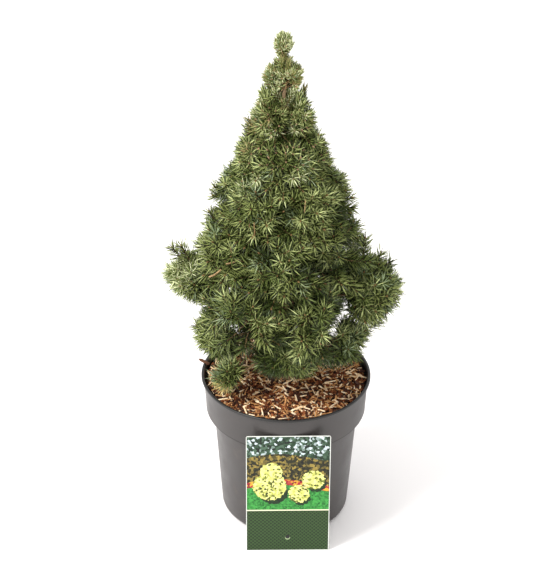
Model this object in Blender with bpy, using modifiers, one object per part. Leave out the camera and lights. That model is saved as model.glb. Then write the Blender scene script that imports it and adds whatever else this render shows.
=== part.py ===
"""A dwarf Alberta spruce in a round nursery pot, with bark mulch and a picture label.

Metres, +Z up. The origin is the middle of the pot's flat underside. -Y is the front,
where the label leans on the pot's collar, and +X is to its right.
"""

import math
import random
from dataclasses import dataclass

import bmesh
import bpy
from mathutils import Matrix, Vector

GAP = 0.0003  # room left between two solids that touch on the real plant
GOLDEN_ANGLE = math.pi * (3.0 - math.sqrt(5.0))

# Pot: a 19 cm container of moulded plastic
POT_HEIGHT = 0.177
POT_WALL = 0.0016
POT_FLOOR = 0.0024
RIM_RADIUS = 0.095
RIM_DEPTH = 0.0038
RIM_WIDTH = 0.0040
COLLAR_TOP_RADIUS = 0.0922
COLLAR_FOOT_RADIUS = 0.0900
COLLAR_FOOT = 0.1380
NECK_RADIUS = 0.0808
NECK_HEIGHT = 0.1290
BODY_FOOT_RADIUS = 0.0725
FOOT_ROUND = 0.0090
POT_SIDES = 32
DRAIN_HOLES = 6
DRAIN_RADIUS = 0.0045
DRAIN_CIRCLE = 0.0460

# Potting mix, and the bark mulch on it
MIX_TOP = 0.1580
MULCH_EDGE = 0.1675
GROUND = 0.1710

# Trunk
TRUNK_TIP = 0.5560
TRUNK_FOOT_RADIUS = 0.0085
TRUNK_TIP_RADIUS = 0.0013
TRUNK_STATIONS = 14
ROOT_FLARE = 0.0045
FLARE_HEIGHT = 0.0090
TRUNK_LEAN = -0.0055
TRUNK_BOW = -0.0035

# Boughs
BOUGH_ROOT_RADIUS = 0.0034
BOUGH_TIP_RADIUS = 0.0018
BOUGH_STATIONS = 5
BOUGH_PITCH = 0.60  # climb from the trunk for each metre outwards
BOUGH_LOWEST = 0.1850
BOUGH_SPACING = 0.0085
BOUGH_CROWDING = 0.45  # boughs whose bearings have a larger cosine between them are neighbours
BOUGH_BEND = 0.45

# Foliage
STEM_RADIUS = 0.0016
STEM_SIDES = 5
STEM_REACH = 0.45  # how far past its middle a mass's stem runs
CORE_SHARE = 0.70  # how far a core fills its egg
PACKED_SHARE = 0.88  # how far it fills its room where a neighbour is near
CORE_UNEVEN = 0.10
CORE_REACH = 0.96  # how far a core's needles may go towards the edge of the room
NEEDLE_SWEEP = 0.30  # how far needles lean along their shoot
SHORTEST_NEEDLE = 0.0040
BARE_BACK = -0.25  # cosine past which a core's faces look at the trunk and bear no needles
TWIG_RADIUS = 0.0017
TWIG_TAPER = (1.0, 1.0, 0.80)
WHORL_SHARE = 0.40
NEEDLE_SPREADS = (math.radians(64.0), math.radians(44.0))
LEAST_REACH = 0.86  # a shoot with less room than this share of its egg is left out
BACK_COVER = 0.40  # how far back past a mass's middle its shoots go
LEADER_COVER = -0.35
ROOT_FORWARD = 0.35  # a shoot starts on its mass's axis, further out for a forward shoot
ROOT_BACK = 0.15
FLOOR_OVER_RIM = 0.1795

# Picture label, its foot on the surface that the pot stands on
LABEL_WIDTH = 0.0928
LABEL_HEIGHT = 0.1548
LABEL_THICKNESS = 0.0008
LABEL_CORNER = 0.0022
LABEL_YAW = math.radians(1.3)
LABEL_ACROSS = 0.0028
LABEL_FOOT_OUT = 0.0961
LABEL_HOLE_RADIUS = 0.0030
LABEL_HOLE_HEIGHT = 0.0190


@dataclass
class Tier:
    """Masses of foliage that share one height, one size and one distance from the trunk."""

    name: str
    bearings: tuple
    height: float
    ring: float
    half_length: float
    half_width: float
    rise: float
    shoots: int
    needle: float
    bough: bool = True


@dataclass
class Mass:
    """One mass: an egg-shaped room about a middle, pointed along its stem."""

    name: str
    middle: Vector
    axis: Vector
    tier: Tier


def even(count, first):
    """Bearings spread evenly round the trunk, in degrees from +X."""
    return tuple(first + index * 360.0 / count for index in range(count))


# The widest tier leaves room for the two arms.
WIDE_BEARINGS = (-124.0, -64.0, 42.0, 90.0, 138.0)

TIERS = (
    Tier("leader", (0.0,), 0.5683, 0.0, 0.0240, 0.0125, 90.0, 4, 0.0090, False),
    Tier("crest", even(3, 172.0), 0.5370, 0.0070, 0.0300, 0.0180, 70.0, 4, 0.0090, False),
    Tier("upper", even(3, 222.0), 0.4970, 0.0130, 0.0350, 0.0260, 64.0, 5, 0.0100, False),
    Tier("shoulder", even(4, 186.0), 0.4540, 0.0210, 0.0400, 0.0370, 56.0, 6, 0.0120, False),
    Tier("middle", even(5, -126.0), 0.4040, 0.0340, 0.0450, 0.0470, 48.0, 7, 0.0130, False),
    Tier("broad", even(5, -90.0), 0.3470, 0.0500, 0.0480, 0.0540, 40.0, 7, 0.0140),
    Tier("wide", WIDE_BEARINGS, 0.2870, 0.0730, 0.0500, 0.0540, 28.0, 7, 0.0150),
    Tier("left_arm", (180.0,), 0.3000, 0.0920, 0.0450, 0.0310, 16.0, 6, 0.0150),
    Tier("right_arm", (-4.0,), 0.2900, 0.0865, 0.0460, 0.0460, 14.0, 7, 0.0150),
    Tier("low_front", (-92.0,), 0.2370, 0.0560, 0.0390, 0.0400, -6.0, 6, 0.0150),
    Tier("low_left", (186.0,), 0.2300, 0.0690, 0.0360, 0.0370, -8.0, 6, 0.0150),
    Tier("low_corner", (-140.0,), 0.2040, 0.0720, 0.0310, 0.0250, -8.0, 4, 0.0145),
    Tier("low_right", (-16.0,), 0.2320, 0.0620, 0.0370, 0.0390, -4.0, 6, 0.0150),
    Tier("low_back", (60.0, 124.0), 0.2330, 0.0620, 0.0380, 0.0430, -4.0, 6, 0.0150),
)


def upright(height):
    """The trunk's axis at a height: it leans, and bows a little to the left."""
    rise = (height - GROUND) / (TRUNK_TIP - GROUND)
    across = TRUNK_LEAN * rise * rise + TRUNK_BOW * math.sin(math.pi * rise) ** 2
    return Vector((across, 0.0, height))


def trunk_radius(height):
    """The trunk's radius: an even taper, with a flare where the roots start."""
    rise = (height - GROUND) / (TRUNK_TIP - GROUND)
    taper = TRUNK_FOOT_RADIUS + (TRUNK_TIP_RADIUS - TRUNK_FOOT_RADIUS) * rise
    return taper + ROOT_FLARE * math.exp((GROUND - height) / FLARE_HEIGHT)


def trunk_heights():
    """Heights of the trunk's stations, closer together in the flare."""
    steps = [index / (TRUNK_STATIONS - 1) for index in range(TRUNK_STATIONS)]
    return [GROUND + (TRUNK_TIP - GROUND) * step**1.6 for step in steps]


def masses_of(tier):
    """The tier's masses, each pointing away from the trunk at the tier's rise."""
    rise = math.radians(tier.rise)
    found = []
    for number, bearing in enumerate(tier.bearings, 1):
        turn = math.radians(bearing)
        out = Vector((math.cos(turn), math.sin(turn), 0.0))
        name = tier.name if len(tier.bearings) == 1 else f"{tier.name}_{number}"
        foot = upright(min(tier.height, TRUNK_TIP))
        middle = Vector((foot.x, foot.y, tier.height)) + out * tier.ring
        axis = out * math.cos(rise) + Vector((0.0, 0.0, math.sin(rise)))
        found.append(Mass(name, middle, axis.normalized(), tier))
    return found


def mass_root(mass):
    """Where the mass's own stem starts: at its bough's tip, or on the trunk's axis."""
    if mass.tier.bough:
        return mass.middle - mass.axis * mass.tier.half_length * 0.80
    if mass.tier.ring == 0.0:
        return Vector((mass.middle.x, mass.middle.y, TRUNK_TIP))
    drop = mass.tier.ring * math.tan(math.radians(min(mass.tier.rise, 50.0)))
    return upright(mass.middle.z - drop)


def bearing_of(mass):
    """The mass's direction from the trunk, in radians."""
    return math.atan2(mass.axis.y, mass.axis.x)


def bough_roots(masses):
    """Heights where the boughs leave the trunk, spaced so that near neighbours don't touch."""
    wanted = {}
    for mass in masses:
        tip = mass_root(mass)
        wanted[mass.name] = max(tip.z - BOUGH_PITCH * math.hypot(tip.x, tip.y), BOUGH_LOWEST)
    roots = {}
    for mass in sorted(masses, key=lambda each: wanted[each.name]):
        height = wanted[mass.name]
        near = [
            roots[other.name]
            for other in masses
            if other.name in roots
            and math.cos(bearing_of(other) - bearing_of(mass)) > BOUGH_CROWDING
        ]
        while any(abs(height - other) < BOUGH_SPACING for other in near):
            height += GAP
        roots[mass.name] = height
    return roots


def bough_path(mass, root_height):
    """Points from the trunk's axis to the bough's tip, ending along the mass's axis."""
    tip = mass_root(mass)
    root = upright(root_height)
    bend = tip - mass.axis * (tip - root).length * BOUGH_BEND
    points = []
    for index in range(BOUGH_STATIONS):
        t = index / (BOUGH_STATIONS - 1)
        points.append(root * (1 - t) ** 2 + bend * 2 * t * (1 - t) + tip * t * t)
    return points


def bough_radii(count):
    """Radii of an even taper over the bough's stations."""
    steps = [index / (count - 1) for index in range(count)]
    return [BOUGH_ROOT_RADIUS + (BOUGH_TIP_RADIUS - BOUGH_ROOT_RADIUS) * step for step in steps]


class Space:
    """The room that one mass keeps to: its egg, less what its neighbours and the limbs take."""

    def __init__(self, mass):
        self.mass = mass
        self.walls = []
        self.bough = []

    def egg_reach(self, direction):
        """Distance from the middle to the egg's skin."""
        along = direction.dot(self.mass.axis)
        tier = self.mass.tier
        return 1.0 / math.sqrt(
            (along / tier.half_length) ** 2 + (1.0 - along * along) / tier.half_width**2
        )

    def add_wall(self, normal, point):
        """Keeps the mass on the side of a plane that the normal points to."""
        self.walls.append((normal, normal.dot(point)))

    def holds(self, point):
        """Whether a point lies in the room."""
        offset = point - self.mass.middle
        distance = offset.length
        if distance > 1e-6 and distance > self.egg_reach(offset / distance):
            return False
        return all(normal.dot(point) >= least for normal, least in self.walls)

    def reach(self, direction):
        """Distance from the middle to the edge of the room."""
        far = self.egg_reach(direction)
        for normal, least in self.walls:
            slope = normal.dot(direction)
            if slope < -1e-6:
                far = min(far, (least - normal.dot(self.mass.middle)) / slope)
        return max(far, 0.0)


def part_neighbours(spaces):
    """Puts a pair of walls, two gaps apart, between each two eggs that meet."""
    for index, one in enumerate(spaces):
        for other in spaces[index + 1 :]:
            across = other.mass.middle - one.mass.middle
            distance = across.length
            across.normalize()
            mine, theirs = one.egg_reach(across), other.egg_reach(-across)
            if mine + theirs < distance:
                continue
            between = one.mass.middle + across * distance * mine / (mine + theirs)
            one.add_wall(-across, between - across * GAP)
            other.add_wall(across, between + across * GAP)


def nearest_on(start, end, point):
    """The point of a segment that is nearest to a point."""
    along = end - start
    share = (point - start).dot(along) / along.length_squared
    return start + along * min(max(share, 0.0), 1.0)


def keep_clear(space, points, radii):
    """Walls that keep a room off a limb, one for each of its stretches that comes near."""
    middle = space.mass.middle
    longest = max(space.mass.tier.half_length, space.mass.tier.half_width)
    for start, end, radius in zip(points, points[1:], radii):
        nearest = nearest_on(start, end, middle)
        away = middle - nearest
        if away.length < longest + radius:
            away.normalize()
            space.add_wall(away, nearest + away * (radius + 2 * GAP))


def lay_out_crown():
    """Every mass's room and bough, with the walls that keep it off neighbours and limbs."""
    spaces = [Space(mass) for tier in TIERS for mass in masses_of(tier)]
    roots = bough_roots([space.mass for space in spaces if space.mass.tier.bough])
    for space in spaces:
        if space.mass.tier.bough:
            space.bough = bough_path(space.mass, roots[space.mass.name])
    part_neighbours(spaces)
    heights = trunk_heights()
    trunk = [upright(height) for height in heights]
    girths = [trunk_radius(height) for height in heights]
    floor = Vector((0.0, 0.0, FLOOR_OVER_RIM))
    for space in spaces:
        space.add_wall(Vector((0.0, 0.0, 1.0)), floor)
        keep_clear(space, trunk, girths)
        for other in spaces:
            if other is space:
                continue
            if other.bough:
                keep_clear(space, other.bough, bough_radii(len(other.bough)))
            elif other.mass.tier.ring > 0.0:
                stem = [mass_root(other.mass), other.mass.middle]
                keep_clear(space, stem, [STEM_RADIUS, STEM_RADIUS])
        if space.bough:
            tip = space.bough[-1]
            space.add_wall(space.mass.axis, tip + space.mass.axis * GAP)
    return spaces


def material(name, colour, roughness):
    """A plain material in a linear base colour."""
    made = bpy.data.materials.new(name)
    made.use_nodes = True
    shader = made.node_tree.nodes["Principled BSDF"]
    shader.inputs["Base Color"].default_value = (*colour, 1.0)
    shader.inputs["Roughness"].default_value = roughness
    shader.inputs["Metallic"].default_value = 0.0
    made.diffuse_color = (*colour, 1.0)
    return made


def object_of(name, data, collection, finish=None):
    """Adds an object that holds the data, in a collection."""
    made = bpy.data.objects.new(name, data)
    collection.objects.link(made)
    if finish:
        data.materials.append(finish)
    return made


def mesh_of(name, shape):
    """Turns a bmesh into a mesh, with its faces pointing out."""
    bmesh.ops.recalc_face_normals(shape, faces=shape.faces)
    mesh = bpy.data.meshes.new(name)
    shape.to_mesh(mesh)
    shape.free()
    return mesh


def apply_modifiers(made):
    """Replaces the object's mesh by the mesh that its modifiers give."""
    graph = bpy.context.evaluated_depsgraph_get()
    mesh = bpy.data.meshes.new_from_object(made.evaluated_get(graph))
    old = made.data
    made.modifiers.clear()
    made.data = mesh
    bpy.data.meshes.remove(old)


def turned(name, profile, collection, finish):
    """A turned solid from a profile of (radius, height) points that ends on the axis twice."""
    shape = bmesh.new()
    points = [shape.verts.new((radius, 0.0, height)) for radius, height in profile]
    for one, other in zip(points, points[1:]):
        shape.edges.new((one, other))
    mesh = bpy.data.meshes.new(name)
    shape.to_mesh(mesh)
    shape.free()
    made = object_of(name, mesh, collection, finish)
    screw = made.modifiers.new("Turn about the upright axis", "SCREW")
    screw.steps = POT_SIDES
    screw.render_steps = POT_SIDES
    screw.use_merge_vertices = True
    screw.merge_threshold = 0.0001
    return made


def arc(centre, radius, start, end, steps):
    """Points on an arc in the profile's plane, angles in degrees."""
    angles = [math.radians(start + (end - start) * index / steps) for index in range(steps + 1)]
    return [
        (centre[0] + radius * math.cos(angle), centre[1] + radius * math.sin(angle))
        for angle in angles
    ]


def pot_outside():
    """The pot's outer profile, from the rim's outer edge down to the underside."""
    step = COLLAR_FOOT_RADIUS - NECK_RADIUS
    under_lip = POT_HEIGHT - RIM_DEPTH
    profile = arc((RIM_RADIUS - 0.0012, POT_HEIGHT - 0.0012), 0.0012, 90.0, 0.0, 2)
    profile += [(RIM_RADIUS, under_lip), (COLLAR_TOP_RADIUS, under_lip - 0.0008)]
    profile += arc((COLLAR_FOOT_RADIUS - step, COLLAR_FOOT), step, 0.0, -90.0, 3)[:-1]
    profile.append((NECK_RADIUS, NECK_HEIGHT))
    profile += arc((BODY_FOOT_RADIUS - FOOT_ROUND, FOOT_ROUND), FOOT_ROUND, 0.0, -90.0, 3)
    return profile


def pot_inside():
    """The pot's inner profile, from the middle of its floor up to the rim's inner edge."""
    lip = RIM_RADIUS - RIM_WIDTH
    return [
        (0.0, POT_FLOOR),
        (BODY_FOOT_RADIUS - FOOT_ROUND, POT_FLOOR),
        (BODY_FOOT_RADIUS - POT_WALL - 0.0015, POT_FLOOR + 0.0060),
        (NECK_RADIUS - POT_WALL, NECK_HEIGHT),
        (COLLAR_FOOT_RADIUS - POT_WALL - 0.0010, COLLAR_FOOT + 0.0010),
        (lip - 0.0002, POT_HEIGHT - RIM_DEPTH - 0.0020),
        (lip, POT_HEIGHT - 0.0006),
        (lip + 0.0006, POT_HEIGHT),
    ]


def collar_radius(height):
    """The collar's outer radius at a height."""
    climb = (height - COLLAR_FOOT) / (POT_HEIGHT - RIM_DEPTH - COLLAR_FOOT)
    return COLLAR_FOOT_RADIUS + (COLLAR_TOP_RADIUS - COLLAR_FOOT_RADIUS) * climb


def inner_radius(height):
    """The radius of the pot's hollow at a height."""
    profile = pot_inside()
    for (near, low), (far, high) in zip(profile, profile[1:]):
        if low <= height <= high and high > low:
            return near + (far - near) * (height - low) / (high - low)
    return profile[-1][0]


def make_pot(collection, cutters, finish):
    """The pot: a turned shell with drain holes in its floor."""
    # The profile runs down its outer side, so the turned faces point out.
    profile = pot_inside() + pot_outside() + [(0.0, 0.0)]
    made = turned("pot", profile, collection, finish)
    for index in range(DRAIN_HOLES):
        turn = 2.0 * math.pi * (index + 0.5) / DRAIN_HOLES
        shape = bmesh.new()
        bmesh.ops.create_cone(
            shape, cap_ends=True, segments=10, radius1=DRAIN_RADIUS, radius2=DRAIN_RADIUS, depth=0.02
        )
        cutter = object_of(f"drain cutter {index + 1}", mesh_of("drain cutter", shape), cutters)
        cutter.location = (DRAIN_CIRCLE * math.cos(turn), DRAIN_CIRCLE * math.sin(turn), 0.0)
        hide_guide(cutter)
    cut = made.modifiers.new("Drain holes", "BOOLEAN")
    cut.operand_type = "COLLECTION"
    cut.collection = cutters
    cut.operation = "DIFFERENCE"
    return made


def hide_guide(made):
    """Leaves a cutter out of the finished object."""
    made.hide_render = True
    made.display_type = "WIRE"


def make_filling(collection, mix_finish, mulch_finish):
    """Potting mix up to the mulch, and a thick layer of bark mulch on it, both turned."""
    low = POT_FLOOR + GAP
    mix = [
        (0.0, MIX_TOP),
        (inner_radius(MIX_TOP) - 2 * GAP, MIX_TOP),
        (inner_radius(COLLAR_FOOT + 0.001) - 2 * GAP, COLLAR_FOOT + 0.0012),
        (inner_radius(NECK_HEIGHT) - 2 * GAP, NECK_HEIGHT),
        (inner_radius(POT_FLOOR + 0.006) - 2 * GAP, POT_FLOOR + 0.0062),
        (BODY_FOOT_RADIUS - FOOT_ROUND - 2 * GAP, low),
        (0.0, low),
    ]
    turned("potting_mix", mix, collection, mix_finish)
    foot = MIX_TOP + GAP
    level = GROUND - GAP
    mulch = [
        (0.0, level),
        (TRUNK_FOOT_RADIUS + 0.012, level),
        (0.045, level + 0.0008),
        (0.072, MULCH_EDGE + 0.0012),
        (inner_radius(MULCH_EDGE) - 2 * GAP, MULCH_EDGE),
        (inner_radius(foot) - 2 * GAP, foot),
        (0.0, foot),
    ]
    turned("bark_mulch", mulch, collection, mulch_finish)


def limb(name, points, radii, resolution, collection, finish):
    """A tapering limb: a bevelled curve with closed ends, made a mesh."""
    curve = bpy.data.curves.new(name, "CURVE")
    curve.dimensions = "3D"
    curve.bevel_depth = 1.0
    curve.bevel_resolution = resolution
    curve.use_fill_caps = True
    spline = curve.splines.new("POLY")
    spline.points.add(len(points) - 1)
    for point, place, radius in zip(spline.points, points, radii):
        point.co = (*place, 1.0)
        point.radius = radius
    tube = object_of(name, curve, collection)
    bpy.context.view_layer.update()
    graph = bpy.context.evaluated_depsgraph_get()
    mesh = bpy.data.meshes.new_from_object(tube.evaluated_get(graph))
    bpy.data.objects.remove(tube)
    bpy.data.curves.remove(curve)
    shape = bmesh.new()
    shape.from_mesh(mesh)
    bpy.data.meshes.remove(mesh)
    bmesh.ops.remove_doubles(shape, verts=shape.verts, dist=1e-6)
    made = object_of(name, mesh_of(name, shape), collection, finish)
    made.data.shade_smooth()
    made.data.set_sharp_from_angle(angle=math.radians(50.0))
    return made


def cut_off(made, cutter):
    """Cuts a solid away from an object, and applies the cut."""
    cut = made.modifiers.new("Clear of the trunk", "BOOLEAN")
    cut.operation = "DIFFERENCE"
    cut.object = cutter
    apply_modifiers(made)


def make_trunk(collection, finish):
    """The trunk, whole from the ground to its tip under the leader's needles."""
    heights = trunk_heights()
    points = [upright(height) for height in heights]
    radii = [trunk_radius(height) for height in heights]
    return limb("trunk", points, radii, 2, collection, finish)


def make_trunk_cutter(cutters):
    """The trunk a gap larger all round, and longer, which shapes the roots of the boughs."""
    heights = trunk_heights()
    points = [upright(height) for height in heights]
    radii = [trunk_radius(height) + GAP * 1.1 for height in heights]
    points[0] = points[0] - Vector((0.0, 0.0, GAP))
    points[-1] = points[-1] + Vector((0.0, 0.0, GAP))
    made = limb("trunk cutter", points, radii, 2, cutters, None)
    hide_guide(made)
    return made


def make_boughs(spaces, cutter, collection, finish):
    """One tapering bough for each mass that stands off the trunk."""
    for space in spaces:
        if space.bough:
            radii = bough_radii(len(space.bough))
            name = f"bough_{space.mass.name}"
            made = limb(name, space.bough, radii, 1, collection, finish)
            cut_off(made, cutter)


def side_frame(axis):
    """Two directions square to an axis and to each other."""
    aside = axis.orthogonal().normalized()
    return aside, axis.cross(aside).normalized()


def ring(shape, centre, axis_frame, radius, turn, sides=3):
    """A ring of points round an axis."""
    aside, other = axis_frame
    made = []
    for index in range(sides):
        angle = turn + 2.0 * math.pi * index / sides
        place = centre + (aside * math.cos(angle) + other * math.sin(angle)) * radius
        made.append(shape.verts.new(place))
    return made


def needle_tip(corners, centre, axis, spread, length):
    """Where a needle that stands out of a small face of its twig ends."""
    foot = (corners[0].co + corners[1].co + corners[2].co) / 3.0
    out = foot - centre
    out -= axis * out.dot(axis)
    out.normalize()
    return foot + (out * math.sin(spread) + axis * math.cos(spread)) * length


def whorl(shape, lower, upper, axis, space):
    """Six small faces between two rings, each drawn out into a needle where there is room."""
    centre = sum((point.co for point in lower + upper), Vector()) / 6.0
    for index in range(3):
        after = (index + 1) % 3
        faces = (
            (lower[index], lower[after], upper[index]),
            (lower[after], upper[after], upper[index]),
        )
        for corners, spread in zip(faces, NEEDLE_SPREADS):
            tip = needle_tip(corners, centre, axis, spread, space.mass.tier.needle)
            if not space.holds(tip):
                shape.faces.new(corners)
                continue
            end = shape.verts.new(tip)
            for one, other in zip(corners, corners[1:] + corners[:1]):
                shape.faces.new((one, other, end))


def spray(name, root, bare, tip, space, turn, collection):
    """A three-sided twig, bare up to a length, then with a whorl of needles and a point."""
    axis = (tip - root).normalized()
    frame = side_frame(axis)
    whorled = ((tip - root).length - bare) * WHORL_SHARE
    stations = (0.0, bare, bare + whorled)
    shape = bmesh.new()
    rings = [
        ring(shape, root + axis * station, frame, TWIG_RADIUS * share, turn + index * math.pi / 3.0)
        for index, (station, share) in enumerate(zip(stations, TWIG_TAPER))
    ]
    shape.faces.new(rings[0][::-1])
    for index in range(3):
        after = (index + 1) % 3
        shape.faces.new((rings[0][index], rings[0][after], rings[1][index]))
        shape.faces.new((rings[0][after], rings[1][after], rings[1][index]))
    whorl(shape, rings[1], rings[2], axis, space)
    end = shape.verts.new(tip)
    last = rings[2]
    for index in range(3):
        shape.faces.new((last[index], last[(index + 1) % 3], end))
    return object_of(name, mesh_of(name, shape), collection)


def shoot_directions(mass, draw):
    """Seeded golden-angle directions, from the mass's point back past its middle."""
    aside, other = side_frame(mass.axis)
    first = draw.uniform(0.0, 2.0 * math.pi)
    cover = BACK_COVER if mass.tier.ring > 0.0 else LEADER_COVER
    for index in range(mass.tier.shoots):
        along = 1.0 - index / mass.tier.shoots * (1.0 + cover)
        across = math.sqrt(max(1.0 - along * along, 0.0))
        angle = first + index * GOLDEN_ANGLE
        way = mass.axis * along + (aside * math.cos(angle) + other * math.sin(angle)) * across
        yield way.normalized(), along


def drawn_out(space, foot, way):
    """Where a needle ends that is drawn out of the core's face, or None where there is no room."""
    mass = space.mass
    if way.dot(mass.axis) < BARE_BACK:
        return None
    room = space.reach(way) * CORE_REACH - (foot - mass.middle).length
    length = min(mass.tier.needle, room)
    tip = foot + (way + mass.axis * NEEDLE_SWEEP).normalized() * length
    if length < SHORTEST_NEEDLE or not space.holds(tip):
        return None
    return tip


def core_of(space, draw, collection, finish):
    """The dense inside of a mass, within its room, with needles drawn out of its faces."""
    mass = space.mass
    shape = bmesh.new()
    bmesh.ops.create_icosphere(shape, subdivisions=2, radius=1.0)
    for point in shape.verts:
        way = point.co.normalized()
        skin = space.egg_reach(way) * CORE_SHARE * draw.uniform(1.0 - CORE_UNEVEN, 1.0)
        point.co = mass.middle + way * min(skin, space.reach(way) * PACKED_SHARE)
    for face in list(shape.faces):
        foot = face.calc_center_median()
        tip = drawn_out(space, foot, (foot - mass.middle).normalized())
        if tip:
            bmesh.ops.poke(shape, faces=[face])["verts"][0].co = tip
    name = f"foliage_{mass.name}"
    return object_of(name, mesh_of(name, shape), collection, finish)


def stem_of(space, collection):
    """The mass's own stem, from its bough's tip or the trunk into the core."""
    mass = space.mass
    start = mass_root(mass)
    if mass.tier.bough or mass.tier.ring == 0.0:
        start = start + mass.axis * GAP
    end = mass.middle + mass.axis * mass.tier.half_length * STEM_REACH
    if not mass.tier.bough and mass.tier.ring > 0.0:
        end = mass.middle
    way = end - start
    turn = way.to_track_quat("Z", "Y").to_matrix().to_4x4()
    shape = bmesh.new()
    bmesh.ops.create_cone(
        shape,
        cap_ends=True,
        segments=STEM_SIDES,
        radius1=STEM_RADIUS,
        radius2=STEM_RADIUS * 0.6,
        depth=way.length,
        matrix=Matrix.Translation((start + end) / 2.0) @ turn,
    )
    return object_of("stem", mesh_of("stem", shape), collection)


def keep_main_shell(mesh):
    """Drops loose scraps and the skins of sealed hollows, and closes up slivers."""
    shape = bmesh.new()
    shape.from_mesh(mesh)
    bmesh.ops.remove_doubles(shape, verts=shape.verts, dist=2e-6)
    bmesh.ops.dissolve_degenerate(shape, edges=shape.edges, dist=2e-6)
    left = set(shape.verts)
    shells = []
    while left:
        shell, edge = set(), [left.pop()]
        while edge:
            point = edge.pop()
            shell.add(point)
            for link in point.link_edges:
                other = link.other_vert(point)
                if other in left:
                    left.remove(other)
                    edge.append(other)
        shells.append(shell)
    shells.sort(key=len)
    for shell in shells[:-1]:
        bmesh.ops.delete(shape, geom=list(shell), context="VERTS")
    bmesh.ops.triangulate(shape, faces=shape.faces)
    shape.to_mesh(mesh)
    shape.free()


def fuse(made, pieces):
    """Joins every object of a collection to this one by one Boolean union, and applies it."""
    union = made.modifiers.new("Join the twigs", "BOOLEAN")
    union.operation = "UNION"
    union.operand_type = "COLLECTION"
    union.collection = pieces
    apply_modifiers(made)
    for piece in list(pieces.objects):
        bpy.data.objects.remove(piece)
    bpy.data.collections.remove(pieces)


def make_mass(space, cutter, collection, finish):
    """One mass of foliage: a core, its stem and the sprays that stand out of them."""
    mass = space.mass
    draw = random.Random(mass.name)
    made = core_of(space, draw, collection, finish)
    pieces = bpy.data.collections.new("twigs")
    bpy.context.scene.collection.children.link(pieces)
    stem_of(space, pieces)
    for index, (way, along) in enumerate(shoot_directions(mass, draw)):
        reach = space.reach(way)
        if reach < LEAST_REACH * space.egg_reach(way):
            continue
        tip = mass.middle + way * (reach - GAP)
        forward = ROOT_FORWARD * along - ROOT_BACK
        root = mass.middle + mass.axis * mass.tier.half_length * forward
        inside = mass.middle + way * space.egg_reach(way) * CORE_SHARE
        turn = draw.uniform(0.0, 2.0 * math.pi)
        spray(f"twig {index}", root, (inside - root).length, tip, space, turn, pieces)
    fuse(made, pieces)
    if not mass.tier.bough:
        cut_off(made, cutter)
    keep_main_shell(made.data)
    return made


def make_label(collection, finish):
    """The picture label: a thin card with rounded corners and a hole, leaning on the collar."""
    curve = bpy.data.curves.new("label", "CURVE")
    curve.dimensions = "2D"
    curve.fill_mode = "BOTH"
    curve.extrude = LABEL_THICKNESS / 2.0
    half = LABEL_WIDTH / 2.0 - LABEL_CORNER
    corners = ((half, LABEL_CORNER, -90.0), (half, LABEL_HEIGHT - LABEL_CORNER, 0.0))
    corners += ((-half, LABEL_HEIGHT - LABEL_CORNER, 90.0), (-half, LABEL_CORNER, 180.0))
    outline = []
    for across, height, start in corners:
        outline += arc((across, height), LABEL_CORNER, start, start + 90.0, 3)
    hole = arc((0.0, LABEL_HOLE_HEIGHT), LABEL_HOLE_RADIUS, 0.0, 330.0, 11)
    for points in (outline, hole):
        spline = curve.splines.new("POLY")
        spline.points.add(len(points) - 1)
        for point, (across, height) in zip(spline.points, points):
            point.co = (across, height, 0.0, 1.0)
        spline.use_cyclic_u = True
    card = object_of("label", curve, collection)
    bpy.context.view_layer.update()
    mesh = bpy.data.meshes.new_from_object(
        card.evaluated_get(bpy.context.evaluated_depsgraph_get())
    )
    bpy.data.objects.remove(card)
    bpy.data.curves.remove(curve)
    shape = bmesh.new()
    shape.from_mesh(mesh)
    bpy.data.meshes.remove(mesh)
    bmesh.ops.remove_doubles(shape, verts=shape.verts, dist=1e-6)
    made = object_of("label", mesh_of("label", shape), collection, finish)
    # The card stands on its lower edge, and the top of its back leans on the collar.
    touch = collar_radius(LABEL_HEIGHT) + GAP + LABEL_THICKNESS / 2.0
    lean = math.asin((LABEL_FOOT_OUT - touch) / LABEL_HEIGHT)
    made.rotation_euler = (math.pi / 2.0 - lean, 0.0, LABEL_YAW)
    made.location = (LABEL_ACROSS, -LABEL_FOOT_OUT, LABEL_THICKNESS / 2.0 * math.sin(lean))
    return made


def clear_scene():
    """Removes the objects that are in the scene at the start."""
    for old in list(bpy.data.objects):
        bpy.data.objects.remove(old)


def new_collection(name):
    """Adds a collection to the scene."""
    made = bpy.data.collections.new(name)
    bpy.context.scene.collection.children.link(made)
    return made


def main():
    """Builds the pot, its filling, the trunk, the boughs, the foliage and the label."""
    clear_scene()
    parts = new_collection("potted alberta spruce")
    drains = new_collection("drain cutters")
    cutters = new_collection("cutters")
    plastic = material("grey pot plastic", (0.165, 0.150, 0.145), 0.45)
    mix = material("potting mix", (0.035, 0.024, 0.017), 0.95)
    mulch = material("bark mulch", (0.190, 0.085, 0.045), 0.90)
    bark = material("spruce bark", (0.160, 0.095, 0.055), 0.90)
    needles = material("spruce needles", (0.050, 0.105, 0.035), 0.60)
    card = material("label card", (0.070, 0.160, 0.060), 0.40)
    make_pot(parts, drains, plastic)
    make_filling(parts, mix, mulch)
    make_trunk(parts, bark)
    cutter = make_trunk_cutter(cutters)
    spaces = lay_out_crown()
    make_boughs(spaces, cutter, parts, bark)
    for space in spaces:
        make_mass(space, cutter, parts, needles)
    make_label(parts, card)


if __name__ == "__main__":
    main()
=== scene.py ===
"""A dwarf Alberta spruce in a round nursery pot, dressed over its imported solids.

Metres, +Z up. The origin is the middle of the pot's flat underside, -Y is the front and
+X is to the right. The crown grows by the same named sizes and the same seeded rule as
the solids, carried on to finer shoots that keep to the same rooms.
"""

import logging
import math
from collections.abc import Iterator
from dataclasses import dataclass, field
from enum import Enum
from random import Random
from typing import Any

import bmesh
import bpy
from bpy.types import Material, Mesh, Node, NodeSocket, NodeTree, Object
from mathutils import Matrix, Vector, noise


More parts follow.
